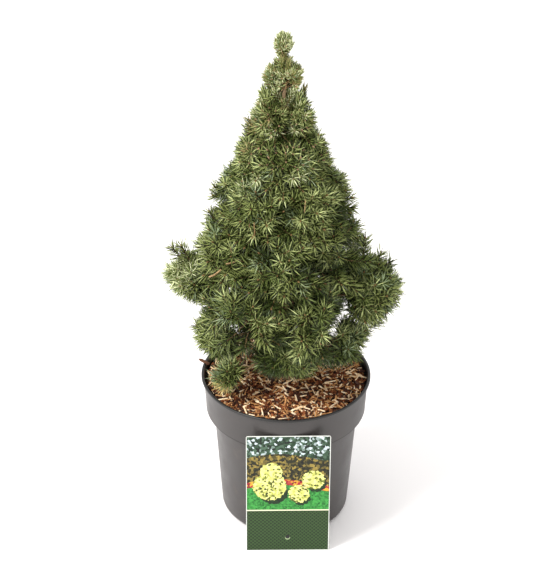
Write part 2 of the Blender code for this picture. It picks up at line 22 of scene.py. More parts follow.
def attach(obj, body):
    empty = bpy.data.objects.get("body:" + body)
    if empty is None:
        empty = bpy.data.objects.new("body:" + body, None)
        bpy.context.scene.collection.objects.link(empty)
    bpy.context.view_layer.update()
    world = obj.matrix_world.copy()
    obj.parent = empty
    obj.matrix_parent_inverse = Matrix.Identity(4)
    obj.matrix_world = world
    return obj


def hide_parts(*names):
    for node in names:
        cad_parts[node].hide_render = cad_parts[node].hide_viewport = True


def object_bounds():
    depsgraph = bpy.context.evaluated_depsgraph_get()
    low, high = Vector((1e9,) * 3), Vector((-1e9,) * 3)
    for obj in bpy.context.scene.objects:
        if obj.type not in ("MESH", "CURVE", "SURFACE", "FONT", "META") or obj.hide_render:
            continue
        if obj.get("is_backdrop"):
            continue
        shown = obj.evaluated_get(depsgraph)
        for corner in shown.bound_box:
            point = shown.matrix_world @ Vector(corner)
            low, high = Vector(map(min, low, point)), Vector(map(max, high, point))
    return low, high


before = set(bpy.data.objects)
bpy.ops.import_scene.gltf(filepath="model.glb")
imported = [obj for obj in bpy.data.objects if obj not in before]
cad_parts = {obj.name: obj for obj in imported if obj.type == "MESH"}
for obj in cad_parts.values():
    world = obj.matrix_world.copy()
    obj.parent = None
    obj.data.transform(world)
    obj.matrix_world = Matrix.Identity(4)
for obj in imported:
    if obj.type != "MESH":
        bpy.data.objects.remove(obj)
CAD_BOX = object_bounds()

log = logging.getLogger("potted spruce")

GOLDEN_ANGLE = math.pi * (3.0 - math.sqrt(5.0))
FULL_TURN = 2.0 * math.pi
MATH = "ShaderNodeMath"
UP = Vector((0.0, 0.0, 1.0))

Pair = tuple[float, float]
Triple = tuple[float, float, float]
Rows = tuple[tuple[float, ...], ...]
Stops = list[tuple[float, str]]
Sources = dict[str, Node | NodeSocket]


class Tint(Enum):
    """Colours of the needles. SHADE to PALE are steps of painted shade and light, from the shaded inside of
    the crown to its lit tips, whose paler new growth they partly stand for too; WAXY, OLIVE and STRAW are
    the needles' own tints.
    """

    SHADE = "212a08"
    DEEP = "3c4a20"
    LEAF = "6e7c42"
    SOFT = "949f5e"
    FRESH = "bcc684"
    PALE = "dde2b4"
    WAXY = "95a67f"
    OLIVE = "a59c66"
    STRAW = "d2bb76"


class Slot(Enum):
    """Material slots of the record."""

    POT = "pot_plastic"
    MIX = "potting_mix"
    MULCH = "bark_mulch"
    BARK = "spruce_bark"
    NEEDLES = "spruce_needles"
    LABEL = "label_card"


def linear(code: str) -> tuple[float, float, float, float]:
    """Turns an sRGB hex colour into a linear one.

    Args:
        code: Six hex digits.

    Returns:
        Red, green, blue and an alpha of one.
    """
    parts = [int(code[start : start + 2], 16) / 255.0 for start in (0, 2, 4)]
    turned = [part / 12.92 if part <= 0.04045 else ((part + 0.055) / 1.055) ** 2.4 for part in parts]
    return (turned[0], turned[1], turned[2], 1.0)


class Graph:
    """A node tree in the making."""

    def __init__(self, tree: NodeTree) -> None:
        """Takes the tree that the nodes go into."""
        self.tree = tree

    def add(self, kind: str, inputs: dict[int | str, Any] | None = None, **settings: Any) -> Node:
        """Adds a node with its settings and its links.

        Args:
            kind: Blender's name of the node's type.
            inputs: What goes into it, by a socket's name or number.
            settings: Values of the node's own properties; `stops` are those of a colour ramp.

        Returns:
            The new node.
        """
        node = self.tree.nodes.new(kind)
        for key, value in settings.items():
            if key == "stops":
                while len(node.color_ramp.elements) < len(value):
                    node.color_ramp.elements.new(0.5)
                for element, (place, code) in zip(node.color_ramp.elements, value):
                    element.position, element.color = place, linear(code)
            else:
                setattr(node, key, value)
        self.feed(node, inputs or {})
        return node

    def feed(self, node: Node, inputs: dict[Any, Any]) -> None:
        """Sets a node's inputs. A socket is linked, and a node stands for its first output.

        Args:
            node: The node.
            inputs: What goes into it, by a socket's name or number.
        """
        for key, value in inputs.items():
            source = value.outputs[0] if isinstance(value, Node) else value
            if isinstance(source, NodeSocket):
                self.tree.links.new(source, node.inputs[key])
            else:
                node.inputs[key].default_value = source


@dataclass(frozen=True)
class Finish:
    """A plain finish: one colour, its gloss and how strongly it bends light."""

    name: str
    colour: str
    roughness: float = 0.5
    ior: float = 1.45

    def build(self) -> Material:
        """Makes the material.

        Returns:
            The material.
        """
        made = bpy.data.materials.new(self.name)
        made.use_nodes = True
        made.diffuse_color = linear(self.colour)
        graph, shader = Graph(made.node_tree), made.node_tree.nodes["Principled BSDF"]
        plain = {"Base Color": linear(self.colour), "Roughness": self.roughness, "IOR": self.ior}
        graph.feed(shader, plain)
        graph.feed(shader, self.dress(graph))
        return made

    def dress(self, graph: Graph) -> Sources:
        """What goes into the shader beside the plain values: nothing here."""
        return {}


@dataclass(frozen=True)
class MouldedPolypropylene(Finish):
    """Recycled polypropylene, injection moulded with a fine spark-eroded grain.

    The eye sees an even, slightly cloudy grey with a soft sheen, and dull dusty patches
    where wet compost has dried.
    """

    cloud: float = 0.030  # size of the cloudy patches
    grain: float = 0.0012  # spark-eroded grain, drawn coarser than the real 0.1 mm to show
    dull_band: Pair = (0.1285, 0.1365)  # heights of the collar's unpolished foot
    cloudy: str = "383433"
    dusty: str = "4a443f"

    def dress(self, graph: Graph) -> Sources:
        """Clouds the colour and the gloss, and puts the mould's grain into the surface.

        Args:
            graph: The material's tree.

        Returns:
            What goes into the shader.
        """
        place = graph.add("ShaderNodeTexCoord").outputs["Object"]
        wide = {"Vector": place, "Scale": 1.0 / self.cloud, "Detail": 4.0, "Roughness": 0.6}
        clouds = graph.add("ShaderNodeTexNoise", wide)
        stops = [(0.35, self.colour), (0.62, self.cloudy), (0.80, self.dusty)]
        colour = graph.add("ShaderNodeValToRGB", {0: clouds}, stops=stops)
        gloss = {"To Min": self.roughness - 0.06, "To Max": self.roughness + 0.16}
        worn = graph.add("ShaderNodeMapRange", {"Value": clouds, "From Min": 0.3, "From Max": 0.8, **gloss})
        height = graph.add("ShaderNodeSeparateXYZ", {0: place}).outputs["Z"]
        low, high = self.dull_band
        level = graph.add("ShaderNodeMapRange", {"Value": height, "From Min": low, "From Max": high})
        stops = [(0.0, "000000"), (0.2, "ffffff"), (0.5, "ffffff"), (1.0, "000000")]
        dull = graph.add("ShaderNodeValToRGB", {0: level}, stops=stops)
        rough = graph.add(MATH, {0: worn, 1: dull}, operation="MAXIMUM")
        grain = graph.add("ShaderNodeTexNoise", {"Vector": place, "Scale": 1.0 / self.grain, "Detail": 2.0})
        bump = graph.add("ShaderNodeBump", {"Height": grain, "Strength": 0.16, "Distance": 0.0004})
        return {"Base Color": colour, "Roughness": rough, "Normal": bump}


@dataclass(frozen=True)
class FibrousWood(Finish):
    """Bark and wood, torn or grown: dull, with darker pores and a rough broken surface."""

    pore: float = 0.0016  # size of pores and fibres
    darker: str = "2a170d"
    lighter: str = "7a5234"
    relief: float = 0.0005

    def dress(self, graph: Graph) -> Sources:
        """Mottles the colour, and breaks the surface up.

        Args:
            graph: The material's tree.

        Returns:
            What goes into the shader.
        """
        place = graph.add("ShaderNodeTexCoord").outputs["Object"]
        fine = {"Vector": place, "Scale": 1.0 / self.pore, "Detail": 5.0, "Roughness": 0.65}
        mottle = graph.add("ShaderNodeTexNoise", fine)
        stops = [(0.34, self.darker), (0.50, self.colour), (0.70, self.lighter)]
        colour = graph.add("ShaderNodeValToRGB", {0: mottle}, stops=stops)
        bump = graph.add("ShaderNodeBump", {"Height": mottle, "Strength": 0.6, "Distance": self.relief})
        return {"Base Color": colour, "Normal": bump}


class Print(Graph):
    """The printed card's tree in the making: it knows the place on the card."""

    def __init__(self, tree: NodeTree) -> None:
        """Takes the tree, and starts it with the place, across the card and up.

        Args:
            tree: The material's tree.
        """
        super().__init__(tree)
        self.place = self.add("ShaderNodeUVMap", uv_map="print")
        self.across, self.height = self.add("ShaderNodeSeparateXYZ", {0: self.place}).outputs[:2]

    def laid_over(self, mask: Node, under: Any, over: Any) -> NodeSocket:
        """One colour printed over another where a mask is one."""
        return self.add("ShaderNodeMix", {0: mask, 6: under, 7: over}, data_type="RGBA").outputs[2]

    def away(self, middle: Pair) -> NodeSocket:
        """The distance from a place on the card."""
        ends = {0: self.place, 1: (*middle, 0.0)}
        return self.add("ShaderNodeVectorMath", ends, operation="DISTANCE").outputs["Value"]

    def dots(self, scale: float, stops: Stops) -> Node:
        """Leafy dabs of colour, so many to the card's width.

        Args:
            scale: Dabs in the card's width.
            stops: The colours, by a dab's random value.

        Returns:
            The colour's node.
        """
        cells = self.add("ShaderNodeTexVoronoi", {"Vector": self.place, "Scale": scale})
        value = self.add("ShaderNodeSeparateXYZ", {0: cells.outputs["Color"]})
        return self.add("ShaderNodeValToRGB", {0: value}, stops=stops)


@dataclass(frozen=True)
class PrintedCard(Finish):
    """Four-colour offset print on coated card, varnished: bright dots under a low gloss.

    The picture is a made-up bed of clipped round shrubs behind a lawn, and the panel
    under it is plain green with a fine crossed pattern. It bears no words. Places are in
    widths of the card, from its lower left corner.
    """

    panel_top: float = 0.360  # share of the card's height
    line: float = 0.008
    edge: float = 0.008
    tall: float = 1.668  # the card's height over its width
    lattice: float = 21.0  # crossed lines over the card's width
    ring: Pair = (0.5, 0.193)  # middle of the pale ring below the hole's painted shade: a painted highlight for the hole's lit cut edge
    ring_radius: float = 0.0310
    ragged: float = 0.06  # how uneven a shrub's outline is
    sway: Pair = (4.2, 0.055)  # how often and how far the strips behind the shrubs rise and fall
    shrubs: tuple[tuple[Pair, float], ...] = (
        ((0.80, 1.04), 0.135), ((0.30, 1.16), 0.130), ((0.28, 0.95), 0.200), ((0.63, 0.84), 0.130),
    )

    def dress(self, graph: Graph) -> Sources:
        """Prints the picture, the panel, the line between them and the pale edge.

        Args:
            graph: The material's tree.

        Returns:
            What goes into the shader.
        """
        card = Print(graph.tree)
        picture = self._garden(card)
        stops = [(0.0, "1c240a"), (0.16, "5f6a22"), (0.30, "b4b856"), (0.80, "eceb92")]
        leaf = card.dots(40.0, stops)
        shade = card.dots(40.0, [(0.0, "081006"), (0.9, "123a12")])
        for (right, up), radius in self.shrubs:
            under = (right + radius * 0.25, up - radius * 0.45)
            for ink, middle, reach in ((shade, under, radius * 0.85), (leaf, (right, up), radius)):
                rough = card.add("ShaderNodeTexNoise", {"Vector": card.place, "Scale": 30.0})
                skin = {0: rough, 1: self.ragged, 2: card.away(middle)}
                skin_at = card.add(MATH, skin, operation="MULTIPLY_ADD")
                mask = card.add(MATH, {0: skin_at, 1: reach + self.ragged / 2.0}, operation="LESS_THAN")
                picture = card.laid_over(mask, picture, ink)
        seam = self.panel_top * self.tall
        above = card.add(MATH, {0: card.height, 1: seam}, operation="GREATER_THAN")
        face = card.laid_over(above, self._panel(card), picture)
        line = card.add(MATH, {0: card.height, 1: seam, 2: self.line}, operation="COMPARE")
        face = card.laid_over(line, face, linear("e6e3c4"))
        for value, half in ((card.across, 0.5), (card.height, self.tall / 2)):
            inside = card.add(MATH, {0: value, 1: half, 2: half - self.edge}, operation="COMPARE")
            face = card.laid_over(inside, linear("dfe2dc"), face)
        return {"Base Color": face}

    def _garden(self, card: Print) -> NodeSocket:
        """The picture's ground: trees behind, a hedge, a strip of flowers and a lawn.

        Args:
            card: The material's tree.

        Returns:
            The colour.
        """
        trees = [(0.0, "08100c"), (0.40, "1c3a22"), (0.74, "4a6450"), (0.93, "c4d2d6")]
        hedge = [(0.0, "060602"), (0.5, "2a2a0c"), (0.95, "94803a")]
        flowers = [(0.0, "4a0812"), (0.5, "a41c30"), (0.85, "d8a22c")]
        lawn = [(0.0, "125c1e"), (0.9, "3c9a40")]
        often, far = self.sway
        phase = card.add(MATH, {0: card.across, 1: often}, operation="MULTIPLY")
        wave = card.add(MATH, {0: phase}, operation="SINE")
        rise = card.add(MATH, {0: wave, 1: far}, operation="MULTIPLY")
        level = card.add(MATH, {0: card.height, 1: rise}, operation="SUBTRACT")
        ground = card.dots(34.0, trees)
        for top, scale, stops in ((1.36, 36.0, hedge), (1.00, 36.0, flowers), (0.92, 48.0, lawn)):
            below = card.add(MATH, {0: level, 1: top}, operation="LESS_THAN")
            ground = card.laid_over(below, ground, card.dots(scale, stops))
        return ground

    def _panel(self, card: Print) -> NodeSocket:
        """The green panel, with two sets of fine slanting lines, and a pale ring that is a painted
        highlight on the lit cut edge of the card's hole.

        Args:
            card: The material's tree.

        Returns:
            The colour.
        """
        waves = []
        for sign in (1.0, -1.0):
            slant = card.add(MATH, {0: card.height, 1: sign, 2: card.across}, operation="MULTIPLY_ADD")
            phase = card.add(MATH, {0: slant, 1: self.lattice * FULL_TURN}, operation="MULTIPLY")
            waves.append(card.add(MATH, {0: phase}, operation="SINE"))
        crossed = card.add(MATH, dict(enumerate(waves)), operation="MAXIMUM")
        green = card.add("ShaderNodeValToRGB", {0: crossed}, stops=[(0.30, "132409"), (0.95, "325022")])
        # Painted highlight: the lit lower edge of the punched hole, as a pale disc just under the dark
        # dome.
        ring = card.add(MATH, {0: card.away(self.ring), 1: self.ring_radius}, operation="LESS_THAN")
        return card.laid_over(ring, green, linear("93a67c"))


def graph_mesh(holder: Object, name: str) -> Mesh:
    """The mesh that an object's modifiers give, as a plain mesh of that name.

    Args:
        holder: The object.
        name: The mesh's name.

    Returns:
        The mesh.
    """
    bpy.context.view_layer.update()
    graph = bpy.context.evaluated_depsgraph_get()
    mesh = bpy.data.meshes.new_from_object(holder.evaluated_get(graph))
    mesh.name = name
    return mesh


def show(name: str, data: Any) -> Object:
    """Adds an object that holds a mesh, a curve, a lamp or a lens to the scene, at the origin.

    Args:
        name: The object's name.
        data: What it holds.

    Returns:
        The object.
    """
    piece = bpy.data.objects.new(name, data)
    bpy.context.scene.collection.objects.link(piece)
    return piece


def settled(name: str, shape: bmesh.types.BMesh) -> Mesh:
    """Turns an edited shape into a mesh of that name, and frees it.

    Args:
        name: The mesh's name.
        shape: The shape, which is freed.

    Returns:
        The mesh.
    """
    mesh = bpy.data.meshes.new(name)
    shape.to_mesh(mesh)
    shape.free()
    return mesh


def finished(piece: Object, slot: Slot, nodes: list[str]) -> Object:
    """Lets a piece ride on the one body, in place of solids of the frame.

    Args:
        piece: The piece.
        slot: The record's slot that its finish belongs to. Not used.
        nodes: The solids that it stands for.

    Returns:
        The piece.
    """
    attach(piece, "root")
    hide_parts(*nodes)
    log.info("%s: %d triangles", piece.name, sum(len(f.vertices) - 2 for f in piece.data.polygons))
    return piece


def arc(centre: Pair, radius: float, start: float, end: float, steps: int) -> list[Pair]:
    """Points on an arc, in so many steps from one angle to another, in degrees."""
    angles = [math.radians(start + (end - start) * index / steps) for index in range(steps + 1)]
    return [(centre[0] + radius * math.cos(turn), centre[1] + radius * math.sin(turn)) for turn in angles]


def heading(turn: float) -> Vector:
    """The level direction at an angle from +X."""
    return Vector((math.cos(turn), math.sin(turn), 0.0))


def shares(count: int) -> list[float]:
    """Even shares, from 0 to 1."""
    return [index / (count - 1) for index in range(count)]


def bent(root: Vector, bend: Vector, tip: Vector, count: int) -> list[Vector]:
    """Points from a root to a tip, on a curve that a third point draws aside."""
    return [root * (1 - t) ** 2 + bend * 2 * t * (1 - t) + tip * t * t for t in shares(count)]


def metres(*rows: tuple[float, ...]) -> Rows:
    """Rows of millimetres, in metres."""
    return tuple(tuple(value / 1000.0 for value in row) for row in rows)


def read_off(rows: Rows, place: float) -> list[float] | None:
    """What a table gives between its rows.

    Args:
        rows: The rows: a place, and the values there.
        place: Where it is read. Before the first row it gives that row's values.

    Returns:
        The values, or None past the last row.
    """
    for (low, *below), (high, *above) in zip(rows, rows[1:]):
        if place < high:
            share = max(place - low, 0.0) / (high - low)
            return [b + (a - b) * share for b, a in zip(below, above)]
    return None


class GrowthTree(Graph):
    """A Geometry Nodes tree in the making, with named inputs for its sizes and its finish."""

    def __init__(self, name: str, inputs: dict[str, str]) -> None:
        """Starts the tree.

        Args:
            name: The tree's name.
            inputs: The kind of each input, by its name.
        """
        super().__init__(bpy.data.node_groups.new(name, "GeometryNodeTree"))
        sockets = {"Geometry": "Geometry", **inputs, "Finish": "Material"}
        for label, kind in sockets.items():
            self.tree.interface.new_socket(label, in_out="INPUT", socket_type=f"NodeSocket{kind}")
        self.tree.interface.new_socket("Geometry", in_out="OUTPUT", socket_type="NodeSocketGeometry")
        self.given = self.tree.nodes.new("NodeGroupInput").outputs

    def close(self, geometry: Node) -> NodeTree:
        """Ends the tree: instances are made real, and the finish is set.

        Args:
            geometry: The node that ends the growth.

        Returns:
            The tree.
        """
        real = self.add("GeometryNodeRealizeInstances", {"Geometry": geometry})
        dressing = {"Geometry": real, "Material": self.given["Finish"]}
        self.add("NodeGroupOutput", {0: self.add("GeometryNodeSetMaterial", dressing)})
        return self.tree


def grow(
    name: str, guide: Mesh, tree: NodeTree, sizes: dict[str, Any], slot: Slot, nodes: list[str]
) -> None:
    """Puts a tree on a guide, and turns what it makes into a plain piece.

    Args:
        name: The piece's name.
        guide: The mesh that the tree starts from. It is removed.
        tree: The Geometry Nodes tree.
        sizes: Values of the tree's inputs, by name.
        slot: The record's slot that its finish belongs to.
        nodes: The solids that it stands for.
    """
    holder = show(f"{name} guide", guide)
    modifier = holder.modifiers.new(tree.name, "NODES")
    modifier.node_group = tree
    for item in tree.interface.items_tree:
        if item.item_type == "SOCKET" and item.in_out == "INPUT" and item.name in sizes:
            modifier[item.identifier] = sizes[item.name]
    mesh = graph_mesh(holder, name)
    holder.modifiers.clear()
    bpy.data.objects.remove(holder)
    bpy.data.meshes.remove(guide)
    finished(show(name, mesh), slot, nodes)


@dataclass
class Line:
    """A line that something grows along: its points, and its half thickness at each."""

    points: list[Vector]
    girths: list[float]
    needle: float = 0.0
    phase: float = 0.0
    first: float = 0.0
    last: float = 1.0

    def at(self, share: float) -> tuple[Vector, Vector]:
        """A place on the line.

        Args:
            share: How far along the line it is, from 0 to 1.

        Returns:
            The place, and the line's direction there.
        """
        place = share * (len(self.points) - 1)
        index = min(int(place), len(self.points) - 2)
        start, end = self.points[index : index + 2]
        return start.lerp(end, place - index), (end - start).normalized()


def guide_of(name: str, lines: list[Line]) -> Mesh:
    """A mesh of edges along lines, with what grows there as attributes.

    Args:
        name: The mesh's name.
        lines: The lines.

    Returns:
        The mesh, whose points know their share of the line, their girth and their needles.
    """
    points: list[Vector] = []
    edges: list[tuple[int, int]] = []
    values: dict[str, list[float]] = {"along": [], "girth": [], "needle": [], "phase": []}
    for line in lines:
        first, count = len(points), len(line.points)
        points += line.points
        edges += [(first + index, first + index + 1) for index in range(count - 1)]
        step = (line.last - line.first) / (count - 1)
        values["along"] += [line.first + step * index for index in range(count)]
        values["girth"] += line.girths
        values["needle"] += [line.needle] * count
        values["phase"] += [line.phase] * count
    mesh = bpy.data.meshes.new(name)
    mesh.from_pydata(points, edges, [])
    for label, numbers in values.items():
        mesh.attributes.new(label, "FLOAT", "POINT").data.foreach_set("value", numbers)
    return mesh


def limb_tree() -> NodeTree:
    """The tree that gives lines a round skin with the relief of bark.

    Returns:
        The tree.
    """
    sizes = {"Sides": "Int", "Station": "Float", "Relief": "Float", "Scale": "Float"}
    made = GrowthTree("limb skin", sizes)
    given = made.given
    curve = made.add("GeometryNodeMeshToCurve", {0: given["Geometry"]})
    pitch = {"Curve": curve, "Length": given["Station"]}
    fine = made.add("GeometryNodeResampleCurve", pitch, mode="LENGTH")
    girth = made.add("GeometryNodeInputNamedAttribute", {0: "girth"}, data_type="FLOAT")
    ring = made.add("GeometryNodeCurvePrimitiveCircle", {"Resolution": given["Sides"], "Radius": 1.0})
    tube = {"Curve": fine, "Profile Curve": ring, "Scale": girth, "Fill Caps": True}
    skin = made.add("GeometryNodeCurveToMesh", tube)
    place = made.add("GeometryNodeInputPosition")
    stretched = made.add("ShaderNodeVectorMath", {0: place, 1: (1.0, 1.0, 0.45)}, operation="MULTIPLY")
    scales = {"Vector": stretched, "Scale": given["Scale"], "Detail": 3.0, "Roughness": 0.6}
    rough = made.add("ShaderNodeTexNoise", scales)
    swing = made.add(MATH, {0: rough, 1: 0.5}, operation="SUBTRACT")
    height = made.add(MATH, {0: swing, 1: given["Relief"]}, operation="MULTIPLY")
    shared = made.add(MATH, {0: height, 1: girth}, operation="MULTIPLY")
    out = made.add("GeometryNodeInputNormal")
    push = made.add("ShaderNodeVectorMath", {0: out, "Scale": shared}, operation="SCALE")
    barked = made.add("GeometryNodeSetPosition", {"Geometry": skin, "Offset": push})
    return made.close(made.add("GeometryNodeSetShadeSmooth", {"Geometry": barked}))


def needle_tree() -> NodeTree:
    """The tree that sets needles round shoots in a golden-angle spiral.

    Returns:
        The tree.
    """
    sizes = dict.fromkeys(("Spacing", "Width", "Foot Spread", "Tip Spread", "Unevenness"), "Float")
    made = GrowthTree("needles round shoots", {"Needle": "Object", **sizes, "Seed": "Int"})
    given = made.given
    curve = made.add("GeometryNodeMeshToCurve", {0: given["Geometry"]})
    pitch = {"Curve": curve, "Length": given["Spacing"]}
    stations = made.add("GeometryNodeResampleCurve", pitch, mode="LENGTH")
    along, length, phase = (
        made.add("GeometryNodeInputNamedAttribute", {0: label}, data_type="FLOAT")
        for label in ("along", "needle", "phase")
    )
    late = made.add(MATH, {0: along, 1: 2.2}, operation="POWER")
    ends = {"Value": late, "To Min": given["Foot Spread"], "To Max": given["Tip Spread"]}
    spread = made.add("ShaderNodeMapRange", ends)
    back = made.add(MATH, {0: given["Unevenness"], 1: -1.0}, operation="MULTIPLY")
    swing = {2: back, 3: given["Unevenness"], "Seed": given["Seed"]}
    stray = made.add("FunctionNodeRandomValue", swing, data_type="FLOAT").outputs[1]
    lean = made.add(MATH, {0: spread, 1: stray})
    number = made.add("GeometryNodeInputIndex")
    start = made.add(MATH, {0: phase, 1: stray})
    roll = made.add(MATH, {0: number, 1: GOLDEN_ANGLE, 2: start}, operation="MULTIPLY_ADD")
    turn = made.add("ShaderNodeCombineXYZ", {1: lean, 2: roll})
    turned = made.add("FunctionNodeEulerToRotation", {0: turn})
    forward = made.add("GeometryNodeInputTangent")
    upright = made.add("FunctionNodeAlignRotationToVector", {"Vector": forward}, axis="Z")
    turning = {0: upright, 1: turned}
    rotation = made.add("FunctionNodeRotateRotation", turning, rotation_space="LOCAL")
    share = {2: 0.78, 3: 1.0, "ID": number, "Seed": 7}
    short = made.add("FunctionNodeRandomValue", share, data_type="FLOAT").outputs[1]
    long = made.add(MATH, {0: length, 1: short}, operation="MULTIPLY")
    size = made.add("ShaderNodeCombineXYZ", {0: given["Width"], 1: given["Width"], 2: long})
    needle = made.add("GeometryNodeObjectInfo", {"Object": given["Needle"], "As Instance": True})
    sprays = {
        "Points": stations, "Instance": needle.outputs["Geometry"], "Rotation": rotation, "Scale": size,
    }
    return made.close(made.add("GeometryNodeInstanceOnPoints", sprays))


def bud_tree() -> NodeTree:
    """The tree that sets a bud on the end of each shoot.

    Returns:
        The tree.
    """
    made = GrowthTree("buds on shoots", {"Bud": "Object", "Size": "Float", "Seed": "Int"})
    given = made.given
    curve = made.add("GeometryNodeMeshToCurve", {0: given["Geometry"]})
    ends = made.add("GeometryNodeCurveEndpointSelection", {"Start Size": 0, "End Size": 1})
    forward = made.add("GeometryNodeInputTangent")
    upright = made.add("FunctionNodeAlignRotationToVector", {"Vector": forward}, axis="Z")
    range_of = {2: 0.7, 3: 1.15, "Seed": given["Seed"]}
    share = made.add("FunctionNodeRandomValue", range_of, data_type="FLOAT").outputs[1]
    size = made.add(MATH, {0: share, 1: given["Size"]}, operation="MULTIPLY")
    bud = made.add("GeometryNodeObjectInfo", {"Object": given["Bud"], "As Instance": True})
    buds = {
        "Points": curve, "Selection": ends, "Instance": bud.outputs["Geometry"], "Rotation": upright,
        "Scale": size,
    }
    return made.close(made.add("GeometryNodeInstanceOnPoints", buds))


def scatter_tree() -> NodeTree:
    """The tree that strews pieces of bark over the mulch.

    Returns:
        The tree.
    """
    sizes = {"Density": "Float", "Least": "Vector", "Most": "Vector", "Tilt": "Float", "Lift": "Float"}
    made = GrowthTree("bark strewn", {"Shred": "Object", **sizes, "Seed": "Int"})
    given = made.given
    seed = {"Seed": given["Seed"]}
    strewn = {"Mesh": given["Geometry"], "Density": given["Density"], **seed}
    spots = made.add("GeometryNodeDistributePointsOnFaces", strewn, distribute_method="RANDOM")
    heights = {2: 0.0, 3: given["Lift"], **seed}
    lift = made.add("FunctionNodeRandomValue", heights, data_type="FLOAT").outputs[1]
    rise = made.add("ShaderNodeCombineXYZ", {2: lift})
    raised = made.add("GeometryNodeSetPosition", {"Geometry": spots, "Offset": rise})
    back = made.add(MATH, {0: given["Tilt"], 1: -1.0}, operation="MULTIPLY")
    low = made.add("ShaderNodeCombineXYZ", {0: back, 1: back})
    high = made.add("ShaderNodeCombineXYZ", {0: given["Tilt"], 1: given["Tilt"], 2: FULL_TURN})
    turn = made.add("FunctionNodeRandomValue", {0: low, 1: high, **seed}, data_type="FLOAT_VECTOR")
    turned = made.add("FunctionNodeEulerToRotation", {0: turn})
    reach = {0: given["Least"], 1: given["Most"], **seed}
    size = made.add("FunctionNodeRandomValue", reach, data_type="FLOAT_VECTOR")
    shred = made.add("GeometryNodeObjectInfo", {"Object": given["Shred"], "As Instance": True})
    layer = {"Points": raised, "Instance": shred.outputs["Geometry"], "Rotation": turned, "Scale": size}
    return made.close(made.add("GeometryNodeInstanceOnPoints", layer))


@dataclass(frozen=True)
class Tier:
    """Masses of foliage that share one height, one size and one distance from the trunk."""

    name: str
    bearings: tuple[float, ...]
    height: float
    ring: float
    half_length: float
    half_width: float
    rise: float
    shoots: int
    needle: float
    bough: bool = True


def even(count: int, first: float) -> tuple[float, ...]:
    """Bearings spread evenly round the trunk, in degrees from +X."""
    return tuple(first + index * 360.0 / count for index in range(count))


TIERS = (
    Tier("leader", (0.0,), 0.5683, 0.0, 0.0240, 0.0125, 90.0, 4, 0.0090, False),
    Tier("crest", even(3, 172.0), 0.5370, 0.0070, 0.0300, 0.0180, 70.0, 4, 0.0090, False),
    Tier("upper", even(3, 222.0), 0.4970, 0.0130, 0.0350, 0.0260, 64.0, 5, 0.0100, False),
    Tier("shoulder", even(4, 186.0), 0.4540, 0.0210, 0.0400, 0.0370, 56.0, 6, 0.0120, False),
    Tier("middle", even(5, -126.0), 0.4040, 0.0340, 0.0450, 0.0470, 48.0, 7, 0.0130, False),
    Tier("broad", even(5, -90.0), 0.3470, 0.0500, 0.0480, 0.0540, 40.0, 7, 0.0140),
    Tier("wide", (-124.0, -64.0, 42.0, 90.0, 138.0), 0.2870, 0.0730, 0.0500, 0.0540, 28.0, 7, 0.0150),
    Tier("left_arm", (180.0,), 0.3000, 0.0920, 0.0450, 0.0310, 16.0, 6, 0.0150),
    Tier("right_arm", (-4.0,), 0.2900, 0.0865, 0.0460, 0.0460, 14.0, 7, 0.0150),
    Tier("low_front", (-92.0,), 0.2370, 0.0560, 0.0390, 0.0400, -6.0, 6, 0.0150),
    Tier("low_left", (186.0,), 0.2300, 0.0690, 0.0360, 0.0370, -8.0, 6, 0.0150),
    Tier("low_corner", (-140.0,), 0.2040, 0.0720, 0.0310, 0.0250, -8.0, 4, 0.0145),
    Tier("low_right", (-16.0,), 0.2320, 0.0620, 0.0370, 0.0390, -4.0, 6, 0.0150),
    Tier("low_back", (60.0, 124.0), 0.2330, 0.0620, 0.0380, 0.0430, -4.0, 6, 0.0150),
)


@dataclass(frozen=True)
class Trunk:
    """The trunk: its line, its girth and its bark."""

    ground: float = 0.1710
    tip: float = 0.5560
    foot_radius: float = 0.0085
    tip_radius: float = 0.0013
    stations: int = 14  # where the crown's plan keeps clear of it
    skin_stations: int = 90
    flare: float = 0.0045
    flare_height: float = 0.0090
    lean: float = -0.0055
    bow: float = -0.0035

    def share(self, height: float) -> float:
        """How far up the trunk a height is, from 0 to 1."""
        return (height - self.ground) / (self.tip - self.ground)

    def upright(self, height: float) -> Vector:
        """The trunk's axis at a height: it leans, and bows a little to the left."""
        rise = self.share(height)
        return Vector((self.lean * rise * rise + self.bow * math.sin(math.pi * rise) ** 2, 0.0, height))

    def radius(self, height: float) -> float:
        """The trunk's radius: an even taper, with a flare where the roots start."""
        taper = self.foot_radius + (self.tip_radius - self.foot_radius) * self.share(height)
        return taper + self.flare * math.exp((self.ground - height) / self.flare_height)

    def heights(self) -> list[float]:
        """Heights of the trunk's stations, closer together in the flare."""
        return [self.ground + (self.tip - self.ground) * each**1.6 for each in shares(self.stations)]

    def build(self, tree: NodeTree, finish: Material) -> None:
        """Makes the trunk's mesh, whole from the ground to its tip.

        Args:
            tree: The tree that gives a line its bark.
            finish: The bark.
        """
        steps = shares(self.skin_stations)
        heights = [self.ground + (self.tip - self.ground) * step for step in steps]
        line = Line([self.upright(each) for each in heights], [self.radius(each) for each in heights])
        sizes = {"Sides": 28, "Station": 0.0022, "Relief": 0.30, "Scale": 420.0, "Finish": finish}
        grow("trunk_bark", guide_of("trunk line", [line]), tree, sizes, Slot.BARK, ["trunk"])


